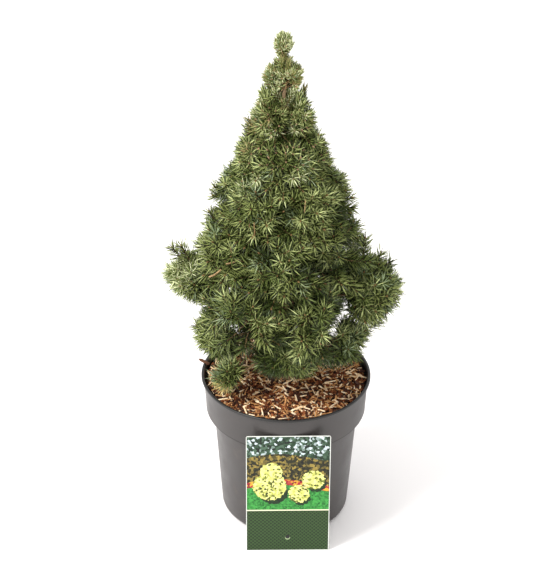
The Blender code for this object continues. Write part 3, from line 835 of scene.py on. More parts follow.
@dataclass(frozen=True)
class Leader:
    """The last years' growth of the trunk: stouter, with the swelling where a whorl left it."""

    low: float = 0.4700
    high: float = 0.5560
    foot_radius: float = 0.0030
    tip_radius: float = 0.0018
    whorls: Rows = metres((510, 1.8), (486, 1.0), (544, 0.8))  # each one's height and swelling
    whorl_length: float = 0.0045
    stations: int = 40

    def build(self, trunk: Trunk, tree: NodeTree, finish: Material) -> None:
        """Makes the skin over the top of the trunk.

        Args:
            trunk: The trunk.
            tree: The tree that gives a line its bark.
            finish: The bark.
        """
        points, girths = [], []
        for share in shares(self.stations):
            height = self.low + (self.high - self.low) * share
            girth = self.foot_radius + (self.tip_radius - self.foot_radius) * share
            for middle, swell in self.whorls:
                girth += swell * math.exp(-(((height - middle) / self.whorl_length) ** 2))
            points.append(trunk.upright(height))
            girths.append(girth)
        sizes = {"Sides": 16, "Station": 0.0015, "Relief": 0.40, "Scale": 700.0, "Finish": finish}
        guide = guide_of("leader line", [Line(points, girths)])
        grow("leader_bark", guide, tree, sizes, Slot.BARK, ["trunk"])


@dataclass(frozen=True)
class Mass:
    """One mass of foliage: an egg-shaped room about a middle, pointed along its stem."""

    name: str
    middle: Vector
    axis: Vector
    tier: Tier

    def root(self, trunk: Trunk) -> Vector:
        """Where the mass's own stem starts: at its bough's tip, or on the trunk's axis.

        Args:
            trunk: The trunk.

        Returns:
            The stem's foot.
        """
        if self.tier.bough:
            return self.on_axis(-0.80)
        if self.tier.ring == 0.0:
            return Vector((self.middle.x, self.middle.y, trunk.tip))
        drop = self.tier.ring * math.tan(math.radians(min(self.tier.rise, 50.0)))
        return trunk.upright(self.middle.z - drop)

    def on_axis(self, share: float) -> Vector:
        """The place on the mass's axis at a share of its half length."""
        return self.middle + self.axis * self.tier.half_length * share

    def bearing(self) -> float:
        """The mass's direction from the trunk, in radians."""
        return math.atan2(self.axis.y, self.axis.x)


@dataclass
class Room:
    """The room that one mass keeps to: its egg, less what neighbours and limbs take."""

    mass: Mass
    walls: list[tuple[Vector, float]] = field(default_factory=list)
    bough: list[Vector] = field(default_factory=list)

    def egg_reach(self, direction: Vector) -> float:
        """Distance from the middle to the egg's skin, in a direction of unit length."""
        along, tier = direction.dot(self.mass.axis), self.mass.tier
        return 1.0 / math.sqrt((along / tier.half_length) ** 2 + (1.0 - along * along) / tier.half_width**2)

    def add_wall(self, normal: Vector, point: Vector) -> None:
        """Keeps the mass on the side of a plane that the normal points to."""
        self.walls.append((normal, normal.dot(point)))

    def holds(self, point: Vector) -> bool:
        """Whether a point lies in the room.

        Args:
            point: The place.

        Returns:
            Whether it does.
        """
        offset = point - self.mass.middle
        distance = offset.length
        if distance > 1e-6 and distance > self.egg_reach(offset / distance):
            return False
        return all(normal.dot(point) >= least for normal, least in self.walls)

    def reach(self, direction: Vector) -> float:
        """Distance from the middle to the edge of the room.

        Args:
            direction: The direction, of unit length.

        Returns:
            The distance.
        """
        far = self.egg_reach(direction)
        for normal, least in self.walls:
            slope = normal.dot(direction)
            if slope < -1e-6:
                far = min(far, (least - normal.dot(self.mass.middle)) / slope)
        return max(far, 0.0)


@dataclass(frozen=True)
class CrownPlan:
    """Where each mass and each bough of the crown lies."""

    trunk: Trunk
    gap: float = 0.0003
    root_radius: float = 0.0034
    tip_radius: float = 0.0018
    stations: int = 5
    pitch: float = 0.60
    lowest: float = 0.1850
    spacing: float = 0.0085
    crowding: float = 0.45
    bend: float = 0.45
    floor: float = 0.1795

    def masses(self, tier: Tier) -> list[Mass]:
        """The tier's masses, each pointing away from the trunk at the tier's rise.

        Args:
            tier: The tier.

        Returns:
            The masses, in the order of their bearings.
        """
        rise = math.radians(tier.rise)
        found = []
        for number, bearing in enumerate(tier.bearings, 1):
            turn = math.radians(bearing)
            out = heading(turn)
            name = tier.name if len(tier.bearings) == 1 else f"{tier.name}_{number}"
            foot = self.trunk.upright(min(tier.height, self.trunk.tip))
            middle = Vector((foot.x, foot.y, tier.height)) + out * tier.ring
            axis = out * math.cos(rise) + UP * math.sin(rise)
            found.append(Mass(name, middle, axis.normalized(), tier))
        return found

    def bough_roots(self, masses: list[Mass]) -> dict[str, float]:
        """Heights where the boughs leave the trunk, spaced so that near ones don't touch.

        Args:
            masses: The masses.

        Returns:
            Each height, by the mass's name.
        """
        wanted = {}
        for mass in masses:
            tip = mass.root(self.trunk)
            wanted[mass.name] = max(tip.z - self.pitch * math.hypot(tip.x, tip.y), self.lowest)
        roots: dict[str, float] = {}
        for mass in sorted(masses, key=lambda each: wanted[each.name]):
            height = wanted[mass.name]
            near = [
                roots[other.name]
                for other in masses
                if other.name in roots
                and math.cos(other.bearing() - mass.bearing()) > self.crowding
            ]
            while any(abs(height - other) < self.spacing for other in near):
                height += self.gap
            roots[mass.name] = height
        return roots

    def bough_path(self, mass: Mass, root_height: float, count: int) -> list[Vector]:
        """Points from the trunk's axis to the bough's tip, ending along the mass's axis."""
        root, tip = self.trunk.upright(root_height), mass.root(self.trunk)
        return bent(root, tip - mass.axis * (tip - root).length * self.bend, tip, count)

    def girths(self, count: int) -> list[float]:
        """Radii of an even taper over a bough's stations."""
        return [self.root_radius + (self.tip_radius - self.root_radius) * each for each in shares(count)]

    def keep_clear(self, room: Room, points: list[Vector], radii: list[float]) -> None:
        """Walls that keep a room off a limb, one for each of its stretches that comes near.

        Args:
            room: The room.
            points: The limb's points.
            radii: Its radius at each.
        """
        middle = room.mass.middle
        longest = max(room.mass.tier.half_length, room.mass.tier.half_width)
        for start, end, radius in zip(points, points[1:], radii):
            along = end - start
            share = min(max((middle - start).dot(along) / along.length_squared, 0.0), 1.0)
            nearest = start + along * share
            away = middle - nearest
            if away.length < longest + radius:
                away.normalize()
                room.add_wall(away, nearest + away * (radius + 2 * self.gap))

    def part_neighbours(self, rooms: list[Room]) -> None:
        """Puts a pair of walls, two gaps apart, between each two eggs that meet.

        Args:
            rooms: The crown's rooms.
        """
        for index, one in enumerate(rooms):
            for other in rooms[index + 1 :]:
                across = other.mass.middle - one.mass.middle
                distance = across.length
                across.normalize()
                mine, theirs = one.egg_reach(across), other.egg_reach(-across)
                if mine + theirs < distance:
                    continue
                between = one.mass.middle + across * distance * mine / (mine + theirs)
                one.add_wall(-across, between - across * self.gap)
                other.add_wall(across, between + across * self.gap)

    def rooms(self) -> list[Room]:
        """Every mass's room, with its bough and the walls that keep it off its neighbours.

        Returns:
            The rooms, from the top down.
        """
        made = [Room(mass) for tier in TIERS for mass in self.masses(tier)]
        roots = self.bough_roots([room.mass for room in made if room.mass.tier.bough])
        for room in made:
            if room.mass.tier.bough:
                height = roots[room.mass.name]
                room.bough = self.bough_path(room.mass, height, self.stations)
        self.part_neighbours(made)
        heights = self.trunk.heights()
        line = [self.trunk.upright(height) for height in heights]
        girths = [self.trunk.radius(height) for height in heights]
        for room in made:
            room.add_wall(UP, Vector((0.0, 0.0, self.floor)))
            self.keep_clear(room, line, girths)
            for other in made:
                if other is not room and other.bough:
                    self.keep_clear(room, other.bough, self.girths(self.stations))
        return made


@dataclass(frozen=True)
class Boughs:
    """The boughs, each with bark that carries on from the trunk's."""

    plan: CrownPlan
    stations: int = 24

    def build(self, rooms: list[Room], tree: NodeTree, finish: Material) -> None:
        """Makes each bough's mesh.

        Args:
            rooms: The crown's rooms, some with a bough.
            tree: The tree that gives a line its bark.
            finish: The bark.
        """
        sizes = {"Sides": 14, "Station": 0.0022, "Relief": 0.34, "Scale": 620.0, "Finish": finish}
        for room in rooms:
            if not room.bough:
                continue
            name = room.mass.name
            path = self.plan.bough_path(room.mass, room.bough[0].z, self.stations)
            guide = guide_of("bough line", [Line(path, self.plan.girths(self.stations))])
            grow(f"bough_bark_{name}", guide, tree, sizes, Slot.BARK, [f"bough_{name}"])


@dataclass(frozen=True)
class Sprigs:
    """Sprigs of one mass that stand out of the crown's outline, by their tips."""

    mass: str
    tips: Rows
    dry: bool = False


@dataclass(frozen=True)
class Outline:
    """The crown as it is seen from the front: its outline, its gaps and its shades.

    All of it is measured on the upright plane of the trunk, as the eye sees it there. Each
    row is a height, and how far the needles reach to the left and to the right. Each gap,
    hollow, lit place and cavity is how far to the right, a height and a radius. A gap shows
    the sky, and a cavity the dark inside or the bare stem. The skirt is how low the needles
    hang over the mulch: how far to the right, and a height.
    """

    rows: Rows = metres(
        (150, -100, 80), (190, -82, 84), (203, -86, 86), (210, -98, 90), (225, -108, 98),
        (250, -106, 120), (270, -116, 136), (288, -136, 137), (301, -143, 134), (312, -137, 131),
        (319, -120, 129), (326, -136, 127), (338, -139, 119), (350, -108, 103), (375, -100, 87),
        (394, -92, 84), (415, -86, 68), (445, -61, 53), (482, -51, 31), (519, -34, 22), (545, -26, 18),
        (550, -23, 16), (557, -17, 7), (573, -17, 7), (581, -19, 12), (594, -14, 10),
    )
    gaps: Rows = metres(
        (59, 341, 3), (58, 321, 2), (61, 272, 3), (61, 257, 4.5), (55, 246, 4.5), (49, 235, 4),
        (-61, 288, 6), (-60, 240, 5), (-47, 246, 2), (-61, 400, 2), (-60, 363, 2),
    )
    # Hollows get painted shade: the sprays in them take darker tints.
    hollows: Rows = metres(
        (-73, 365, 8), (-3, 360, 11), (-16, 332, 9), (-63, 259, 9), (-16, 263, 7), (4, 406, 8),
        (63, 374, 9), (36, 316, 8), (85, 273, 7), (-12, 487, 6), (-18, 447, 5), (3, 463, 5), (38, 430, 6),
        (-15, 447, 11), (-12, 386, 10), (-24, 331, 12), (18, 312, 17), (6, 322, 8), (-23, 264, 12),
        (-95, 287, 10), (30, 273, 14), (30, 241, 14), (-43, 228, 18), (-24, 199, 18), (46, 206, 16),
        (55, 312, 12), (-3, 440, 12), (-66, 323, 10), (-49, 381, 10), (-30, 290, 7), (-14, 303, 10),
        (-49, 259, 11), (48, 265, 13), (-13, 177, 12), (76, 188, 14), (54, 383, 10), (-86, 263, 6),
        (4, 220, 6), (36, 264, 9), (75, 264, 8), (68, 182, 12), (20, 383, 8), (-18, 503, 8),
        (109, 312, 10), (-49, 190, 9),
    )
    # Lit places get painted light: the sprays in them take lighter tints.
    lit: Rows = metres(
        (-10, 402, 9), (19, 421, 12), (29, 425, 10), (2, 480, 9), (38, 322, 12), (19, 275, 11),
        (-118, 312, 20), (73, 303, 13), (92, 260, 16), (29, 343, 10), (10, 204, 10), (-69, 190, 10),
        (-32, 421, 9), (-16, 222, 8), (-31, 243, 8), (-34, 266, 7),
    )
    cavities: Rows = metres(
        (-4, 545, 0.6), (-4.5, 534, 0.8), (-5, 522, 0.6), (-5, 510, 1.8), (2, 404, 4.5), (62, 374, 4.5),
        (-16, 332, 5), (22, 318, 6), (38, 313, 6), (-52, 224, 6), (-36, 221, 6), (44, 218, 6),
    )
    skirt: Rows = metres(
        (-100, 196), (-92, 165), (-85, 152), (-60, 152), (-50, 182), (-41, 188), (-30, 176), (-12, 171),
        (40, 168), (50, 181), (70, 186), (110, 186),
    )
    eye: Triple = (-0.0151, -1.816, 1.392)

    def seen(self, point: Vector) -> Vector:
        """Where the eye sees a place on the plane of the trunk: across, and its height."""
        eye = Vector(self.eye)
        return (eye + (point - eye) * (eye.y / (eye.y - point.y))).xz

    def holds(self, point: Vector, spare: float) -> bool:
        """Whether a place is inside the outline by some width to spare.

        Args:
            point: The place.
            spare: The room to spare, in metres.

        Returns:
            Whether it is.
        """
        across, height = self.seen(point)
        reach = read_off(self.rows, height)
        return reach is not None and reach[0] + spare <= across <= reach[1] - spare

    def over_skirt(self, point: Vector, spare: float) -> bool:
        """Whether a place lies above the skirt by some height to spare.

        Args:
            point: The place.
            spare: The room to spare, in metres.

        Returns:
            Whether it does.
        """
        across, height = self.seen(point)
        level = read_off(self.skirt, across)
        return level is None or height >= level[0] + spare

    def clear(self, root: Vector, tip: Vector, spare: float) -> bool:
        """Whether a shoot and its needles leave the gaps and the cavities open.

        Args:
            root: The shoot's foot.
            tip: Its tip.
            spare: How far its needles stand out from it.

        Returns:
            Whether it may grow there.
        """
        for share in (0.25, 0.5, 0.75, 1.0):
            point = root.lerp(tip, share)
            across, height = self.seen(point)
            for places, keep in ((self.gaps, spare), (self.cavities, spare * 0.6)):
                if places is self.cavities and point.y > 0.0:
                    continue
                for middle, level, radius in places:
                    if math.hypot(across - middle, height - level) < radius + keep:
                        return False
        return True

    def depth_in(self, places: Rows, point: Vector) -> float:
        """How deep a point lies in one of the hollows, or of the lit places, from 0 to 1.

        Args:
            places: The hollows, or the lit places.
            point: The place.

        Returns:
            The depth.
        """
        across, height = self.seen(point)
        depth = 0.0
        for middle, level, radius in places:
            away = math.hypot(across - middle, height - level) / radius
            depth = max(depth, 1.0 - max(away - 0.5, 0.0))
        return depth if point.y < 0.03 else 0.0


@dataclass
class Foliage:
    """The crown's shoots, dressed with needles and buds.

    A mass's leading shoots fan out from its axis by the golden angle, and each carries
    side shoots. A shoot whose tip would leave the room is cut short or left out. Sprays
    between the masses and short sprigs up the leader close the crown.
    """

    plan: CrownPlan
    finer: float = 4.3  # leading shoots here for each one in the solids
    needle_gain: float = 1.08  # needles here, against those of the solids
    high_gain: float = 0.86  # the same, from `high` up
    least_reach: float = 0.50
    back_cover: float = 0.50
    leader_cover: float = -0.10
    root_forward: float = 0.35
    root_back: float = 0.15
    tip_margin: float = 0.62  # how far short of the skin a shoot ends, in needles
    sag: float = 0.16
    side_shoots: int = 3
    side_angle: float = math.radians(50.0)
    side_lengths: Pair = (0.65, 1.15)  # in needles
    side_places: Pair = (0.56, 0.07)  # where the first one leaves, and the step to the next
    shoot_girth: float = 0.0012
    shoot_taper: float = 0.55  # how much thinner a shoot is at its tip
    needle_width: float = 0.00096
    needle_spacing: float = 0.00068  # between needles of one of the two tints of a shoot
    bare_foot: float = 0.14
    shaded_foot: float = 0.54  # share of a long shoot whose needles take the SHADE tint: painted shade inside the crown
    most_needles: int = 30000  # in one piece
    gap_spare: float = 0.23  # how far needles stay off a gap, in needles
    gloom_tone: float = 0.60  # painted shade: how much darker a spray's tints are in the middle of a hollow
    lit_tone: float = 0.40  # painted light: how much lighter they are in the middle of a lit place
    paler_from: float = 0.45  # sprays are paler from here up, partly painted light and partly their paler new growth, and darker from the next down, painted shade low in the crown
    darker_from: float = 0.30
    tint_levels: tuple[float, ...] = (1.75, 3.1, 1.5, 0.6)  # at least, by tone, high up, low down
    light_shares: tuple[float, ...] = (0.32, 0.34, 0.20, 0.18)  # at least, outward, upward, freedom
    floor_spare: float = 0.75  # how far over the mulch a tip stays, in needles
    skirt_spare: float = 0.60  # how far over the crown's skirt a tip stays, in needles
    olive_share: float = 0.3  # of the sprays at the top
    waxy_share: float = 0.08  # of the lit sprays
    sunny_from: float = 0.07  # left of this the sprays are lighter, painted light from the lamp on the left, by this much a metre
    sunny: float = 6.5
    high: float = 0.500  # from here up, shoots and needles stand more upright
    upturn: float = 21.0  # by this much a metre
    spreads: Pair = (76.0, 46.0)  # of needles at a shoot's foot and tip, degrees
    high_spreads: Pair = (52.0, 28.0)
    bridge_reach: float = 1.08  # how far apart two masses' skins may be, to be bridged
    bridge_depth: float = 0.86
    stem_room: float = 0.010  # no bridge starts this near the stem
    bridge_spread: float = 0.023
    # Sprays in the valleys between masses take low tones: painted shade.
    valley_tones: Pair = (0.15, 0.65)
    leader_bare: float = 0.530  # the leader bears its own needles from here up
    stem_shows: float = 0.500  # above this the stem shows between the front sprigs
    top_from: float = 0.452
    top_step: float = 0.0030
    top_free: float = 0.020  # the leader bears no short sprigs this near its tip
    top_needle: float = 0.0090
    top_rises: Pair = (48.0, 66.0)  # of the short sprigs, degrees
    top_lengths: Pair = (0.030, 0.004)  # at most and at least
    top_tones: Pair = (0.45, 0.85)
    leader_tone: float = 0.9
    top_profile: Rows = metres((440, 50), (482, 40), (519, 28), (540, 21), (554, 11.5), (592, 10.5))
    outline: Outline = field(default_factory=Outline)
    outline_spare: Pair = (0.30, 1.00)  # a tip stays inside by this, in needles
    sprig_tone: float = 0.62
    sprigs: tuple[Sprigs, ...] = (
        Sprigs("left_arm", metres((-124, 0, 338), (-114, -4, 342), (-127, -6, 304), (-117, 4, 288))),
        Sprigs("middle_5", metres((-79, 0, 402), (-77, 2, 411))),
        Sprigs("broad_5", metres((-83, -4, 384), (-86, 4, 366), (-85, -6, 350))),
        Sprigs("right_arm", metres((84, 0, 350), (101, -4, 334), (111, 2, 320), (118, 0, 297))),
        Sprigs("middle_3", metres((70, 0, 388), (68, 2, 399))),
        Sprigs("low_left", metres((-99, 0, 238), (-94, -4, 220))),
        Sprigs(
            "low_corner",
            metres(
                (-75, -60, 207), (-67, -66, 208), (-62, -64, 207), (-77, -52, 206), (-70, -54, 214),
                (-64, -60, 217), (-60, -52, 222),
            ),
        ),
        Sprigs("low_corner", metres((-69, -64, 201)), dry=True),
        Sprigs("low_front", metres((34, -60, 233), (26, -62, 224), (15, -68, 226), (31, -62, 244))),
        Sprigs("low_right", metres((101, 0, 244))),
        Sprigs("shoulder_1", metres((-42, 0, 484), (-40, -6, 494))),
        Sprigs("leader", metres((-10, 0, 577), (2, -3, 578), (-3, 6, 579))),
        Sprigs("upper_1", metres((-25, -6, 519), (-21, -10, 524))),
        Sprigs("upper_2", metres((14, -6, 521), (11, -10, 526))),
        Sprigs("upper_1", metres((-25, -4, 528), (-27, -3, 523))),
        Sprigs("upper_2", metres((16, -3, 529))),
        Sprigs("crest_1", metres((-8.5, -3, 556), (-7, -5, 562))),
        Sprigs("crest_2", metres((-0.5, -4, 560), (-1.5, -3, 553))),
        Sprigs("crest_3", metres((-2, 2, 560), (-4.5, 4, 563))),
        Sprigs("crest_1", metres((-22, -3, 538), (-20, -8, 520))),
        Sprigs("crest_3", metres((8, -4, 536), (11, -6, 522))),
    )
    bare_twigs: Rows = metres(  # each one's two ends and its girth
        (-51, -55, 356, -65, -56, 351, 1),
        (-70, -51, 341, -83, -48, 330, 1.2),
        (17, -57, 412, 18, -55, 428, 0.7),
        (-34, -56, 380, -35, -58, 402, 0.9),
        (-30, -84, 300, -12, -86, 303, 1),
    )
    lines: dict[tuple[str, Tint], list[Line]] = field(default_factory=dict)
    shoots: list[Line] = field(default_factory=list)

    def needle_of(self, mass: Mass) -> float:
        """The length of a mass's needles."""
        gain = self.high_gain if mass.middle.z > self.high else self.needle_gain
        return mass.tier.needle * gain

    def leading_ways(self, mass: Mass, draw: Random) -> Iterator[tuple[Vector, float]]:
        """Seeded golden-angle directions, from the mass's point back past its middle.

        Args:
            mass: The mass.
            draw: Its random numbers.

        Yields:
            A direction, and its cosine with the mass's axis.
        """
        aside = mass.axis.orthogonal().normalized()
        other = mass.axis.cross(aside).normalized()
        first = draw.uniform(0.0, FULL_TURN)
        cover = self.back_cover if mass.tier.ring > 0.0 else self.leader_cover
        count = round(mass.tier.shoots * self.finer)
        for index in range(count):
            along = 1.0 - (index + 0.3) / count * (1.0 + cover)
            across = math.sqrt(max(1.0 - along * along, 0.0))
            angle = first + index * GOLDEN_ANGLE
            way = mass.axis * along + (aside * math.cos(angle) + other * math.sin(angle)) * across
            yield way.normalized(), along

    def shoot(self, root: Vector, tip: Vector, needle: float, steps: int = 7) -> Line:
        """One shoot, bent a little so that its tip turns up.

        Args:
            root: The shoot's foot.
            tip: Its tip.
            needle: The length of its needles.
            steps: How many points it has.

        Returns:
            The shoot's line.
        """
        bend = (root + tip) / 2.0 - UP * (tip - root).length * self.sag
        slim = [1.0 - self.shoot_taper * index / (steps - 1) for index in range(steps)]
        return Line(bent(root, bend, tip, steps), [self.shoot_girth * each for each in slim], needle)

    def side_shoot(
        self, room: Room, parent: Line, share: float, roll: float, draw: Random
    ) -> Line | None:
        """A side shoot, or None where the room has no place for it.

        Args:
            room: The room that it keeps to.
            parent: The shoot that it leaves.
            share: Where along the parent it leaves.
            roll: Its turn about the parent.
            draw: The mass's random numbers.

        Returns:
            The shoot's line.
        """
        start, forward = parent.at(share)
        aside = forward.orthogonal().normalized()
        out = aside * math.cos(roll) + forward.cross(aside) * math.sin(roll)
        angle = self.side_angle * draw.uniform(0.8, 1.2)
        way = (forward * math.cos(angle) + out * math.sin(angle) + UP * 0.12).normalized()
        length = parent.needle * draw.uniform(*self.side_lengths)
        spare = draw.uniform(*self.outline_spare)
        for _ in range(3):
            tip = start + way * length
            skin = tip + way * parent.needle * self.tip_margin
            if room.holds(skin) and self.open_to(start, tip, parent.needle, spare):
                return self.shoot(start, tip, parent.needle, 4)
            length *= 0.7
        return None

    def open_to(self, root: Vector, tip: Vector, needle: float, spare: float) -> bool:
        """Whether a shoot keeps to the crown's outline and leaves its gaps open.

        Args:
            root: The shoot's foot.
            tip: Its tip.
            needle: The length of its needles.
            spare: How far inside the outline its tip stays, in needles.

        Returns:
            Whether it may grow there.
        """
        if tip.z < self.plan.floor + needle * self.floor_spare:
            return False
        if not self.outline.over_skirt(tip, needle * self.skirt_spare):
            return False
        inside = self.outline.holds(tip, needle * spare)
        return inside and self.outline.clear(root, tip, needle * self.gap_spare)

    def drawn_in(self, root: Vector, tip: Vector, needle: float, draw: Random) -> Vector:
        """A tip, brought back towards its root until the shoot has the room it needs.

        Args:
            root: The shoot's foot.
            tip: Its tip.
            needle: The length of its needles.
            draw: The mass's random numbers.

        Returns:
            The tip, or the root where there is no room.
        """
        spare = draw.uniform(*self.outline_spare)
        for _ in range(8):
            if self.open_to(root, tip, needle, spare):
                return tip
            tip = root.lerp(tip, 0.91)
        return root

    def stretch(self, line: Line, first: float, last: float) -> Line:
        """A part of a shoot, from one share of its length to another.

        Args:
            line: The shoot.
            first: Share where the part starts.
            last: Share where it ends.

        Returns:
            The part's line.
        """
        inner = [share for share in shares(len(line.points)) if first < share < last]
        points = [line.at(share)[0] for share in (first, *inner, last)]
        return Line(points, [0.0] * len(points), line.needle, 0.0, first, last)

    def deal(self, line: Line, tone: float, draw: Random, straw: float = 0.0) -> None:
        """Deals a lit and a shaded tint to a spray, lighter towards the skin and the top.

        Args:
            line: The shoot.
            tone: How near it is to the crown's skin and to the light, from 0 to 1.
            draw: The mass's random numbers.
            straw: The chance that it is one of the few dry sprays.
        """
        self.shoots.append(line)
        tip = line.points[-1]
        high = min(max((tip.z - self.paler_from) / 0.10, 0.0), 1.0)
        low = min(max((self.darker_from - tip.z) / 0.10, 0.0), 1.0)
        ladder = [Tint.SHADE, Tint.DEEP, Tint.LEAF, Tint.SOFT, Tint.FRESH, Tint.PALE]
        # Painted shade in the hollows, and painted light on the lit places.
        tone -= self.outline.depth_in(self.outline.hollows, tip) * self.gloom_tone
        tone += self.outline.depth_in(self.outline.lit, tip) * self.lit_tone
        base, by_tone, by_high, by_low = self.tint_levels
        level = base + by_tone * tone + by_high * high - by_low * low + draw.uniform(-0.25, 0.25)
        step = min(max(int(level), 1), len(ladder) - 1)
        # Each spray takes a lit tint and one three steps darker: painted light and painted shade within the
        # spray.
        pair = [ladder[step], ladder[max(step - 3, 0)]]
        if draw.random() < straw:
            pair = [Tint.STRAW, Tint.OLIVE]
        elif draw.random() < high * self.olive_share:
            pair[0] = Tint.OLIVE
        elif step > 2 and draw.random() < self.waxy_share:
            pair[0] = Tint.WAXY
        outer = 0.0
        place = "top_" if tip.z > self.high else ""
        if len(line.points) > 5:
            outer = self.shaded_foot
            foot = self.stretch(line, self.bare_foot, outer)
            self.lines.setdefault((place, Tint.SHADE), []).append(foot)
        for number, tint in enumerate(pair):
            bearing = self.stretch(line, outer, 1.0)
            bearing.phase = 2.0 * number
            self.lines.setdefault((place, tint), []).append(bearing)

    def light_at(self, mass: Mass, tip: Vector, free: float) -> float:
        """How near a tip is to the crown's skin and to the light, from 0 to 1.

        Args:
            mass: The mass.
            tip: A shoot's tip.
            free: How far the mass reaches there, from 0 to 1.

        Returns:
            The light.
        """
        tier = mass.tier
        out = (math.hypot(tip.x, tip.y) - tier.ring) / tier.half_width
        up = (tip.z - mass.middle.z) / tier.half_width
        left = max(-tip.x - self.sunny_from, 0.0)
        least, by_out, by_up, by_free = self.light_shares
        value = least + by_out * out + by_up * up + by_free * free + self.sunny * left
        return min(max(value, 0.0), 1.0)

    def grow_mass(self, room: Room) -> None:
        """Grows one mass's shoots, and deals them out by tint.

        Args:
            room: The room.
        """
        mass = room.mass
        draw = Random(mass.name)
        needle = self.needle_of(mass)
        for way, along in self.leading_ways(mass, draw):
            if mass.middle.z > self.high:
                way = (way + UP * self.upturn * (mass.middle.z - self.high)).normalized()
            egg = room.egg_reach(way)
            reach = room.reach(way)
            if reach < self.least_reach * egg:
                continue
            forward = self.root_forward * along - self.root_back
            root = mass.on_axis(forward)
            tip = mass.middle + way * (reach - needle * self.tip_margin * draw.uniform(0.85, 1.15))
            tip = self.drawn_in(root, tip, needle, draw)
            if (tip - root).length < needle * 0.8:
                continue
            free = (reach / egg - self.least_reach) / (1.0 - self.least_reach)
            line = self.shoot(root, tip, needle)
            tone = self.light_at(mass, tip, free) + draw.uniform(-0.24, 0.24)
            self.deal(line, tone, draw)
            roll = draw.uniform(0.0, FULL_TURN)
            start, step = self.side_places
            for index in range(self.side_shoots):
                share = start + step * index + draw.uniform(-0.03, 0.03)
                turn = roll + index * FULL_TURN / self.side_shoots
                side = self.side_shoot(room, line, share, turn, draw)
                if side:
                    self.deal(side, tone - 0.04, draw)

    def bridge(self, one: Room, other: Room, draw: Random) -> None:
        """Grows a few shoots of one mass into the valley between it and another.

        Args:
            one: The mass that they grow from.
            other: Its neighbour.
            draw: Random numbers.
        """
        across = other.mass.middle - one.mass.middle
        distance = across.length
        across.normalize()
        skins = one.egg_reach(across) + other.egg_reach(-across)
        middle = (one.mass.middle + other.mass.middle) / 2.0
        if distance > skins * self.bridge_reach or math.hypot(middle.x, middle.y) < self.stem_room:
            return
        out = (Vector((middle.x, middle.y, 0.0)).normalized() + UP * 0.30).normalized()
        out = (out - across * out.dot(across)).normalized()
        valley = out.cross(across).normalized()
        reach = (one.egg_reach(out) + other.egg_reach(out)) / 2.0
        needle = (self.needle_of(one.mass) + self.needle_of(other.mass)) / 2.0
        root = one.mass.on_axis(-self.root_back)
        for step in (-1.0, 0.0, 1.0):
            aside = self.bridge_spread * (step + draw.uniform(-0.25, 0.25))
            if abs(aside) > reach * 0.8:
                continue
            far = math.sqrt(reach * reach - aside * aside) * self.bridge_depth
            tip = middle + valley * aside + out * (far - needle * self.tip_margin)
            tip = self.drawn_in(root, tip, needle, draw)
            if tip.z < self.plan.floor + needle or (tip - root).length < needle:
                continue
            line = self.shoot(root, tip, needle)
            self.deal(line, draw.uniform(*self.valley_tones), draw)

    def top_radius(self, height: float) -> float:
        """The crown's radius at a height near its top."""
        radius = read_off(self.top_profile, height)
        return radius[0] if radius else self.top_profile[-1][1]

    def grow_top(self, masses: list[Mass]) -> None:
        """Grows the leader's own needles, and short sprigs that rise from it.

        Args:
            masses: The masses.
        """
        draw = Random("top")
        trunk = self.plan.trunk
        peak = max(mass.middle.z + mass.tier.half_length for mass in masses)
        needle = self.top_needle
        low, high = self.leader_bare, peak - needle * 0.80
        heights = [low + (high - low) * index / 4 for index in range(5)]
        line = Line([trunk.upright(each) for each in heights], [0.0013] * 5, needle)
        self.deal(line, self.leader_tone, draw)
        count = int((peak - self.top_free - self.top_from) / self.top_step)
        for index in range(count):
            height = self.top_from + self.top_step * index
            root = trunk.upright(height)
            turn = index * GOLDEN_ANGLE
            if height > self.stem_shows and math.sin(turn) < -0.8:
                continue
            rise = math.radians(draw.uniform(*self.top_rises))
            out = heading(turn) * math.cos(rise)
            way = out + UP * math.sin(rise)
            length, least = self.top_lengths
            while length > least:
                tip = root + way * (length + needle * 0.8)
                near = math.hypot(tip.x - root.x, tip.y) < self.top_radius(tip.z)
                if near and self.outline.holds(tip, 0.0) and tip.z < peak:
                    break
                length *= 0.85
            else:
                continue
            line = self.shoot(root, root + way * length, needle * draw.uniform(0.9, 1.1), 5)
            self.deal(line, draw.uniform(*self.top_tones), draw)

    def grow_sprigs(self, masses: dict[str, Mass]) -> None:
        """Grows the sprigs that stand out of the outline, each from its mass's stem.

        Args:
            masses: The masses, by their names.
        """
        draw = Random("sprigs")
        for group in self.sprigs:
            mass = masses[group.mass]
            root = mass.on_axis(-self.root_back)
            for tip in group.tips:
                line = self.shoot(root, Vector(tip), self.needle_of(mass))
                self.deal(line, self.sprig_tone, draw, float(group.dry))

    def needle_mesh(self, height: float, wide: float) -> Object:
        """One needle of unit length and width: three-sided, pointed, bent to the shoot's tip.

        Args:
            height: Where it is widest; a needle that is widest at its foot is a plain spike.
            wide: Half its width there.

        Returns:
            The needle.
        """
        shape = bmesh.new()
        turns = [FULL_TURN * index / 3.0 for index in range(3)]
        ring = [shape.verts.new((wide * math.cos(t), wide * math.sin(t), height)) for t in turns]
        ends = [shape.verts.new((-1.8, 0.0, 1.0))]
        if height > 0.0:
            ends.append(shape.verts.new((0.0, 0.0, 0.0)))
        else:
            shape.faces.new(ring)
        for end in ends:
            for index in range(3):
                shape.faces.new((ring[index], ring[(index + 1) % 3], end))
        return self._pattern("needle", shape)

    def bud_mesh(self) -> Object:
        """One bud of unit length: a small egg with a point.

        Returns:
            The bud.
        """
        shape = bmesh.new()
        bmesh.ops.create_uvsphere(shape, u_segments=5, v_segments=4, radius=0.5)
        for point in shape.verts:
            narrow = 0.36 if point.co.z > 0.0 else 0.48
            point.co.x *= narrow
            point.co.y *= narrow
            point.co.z += 0.3
        return self._pattern("bud", shape)

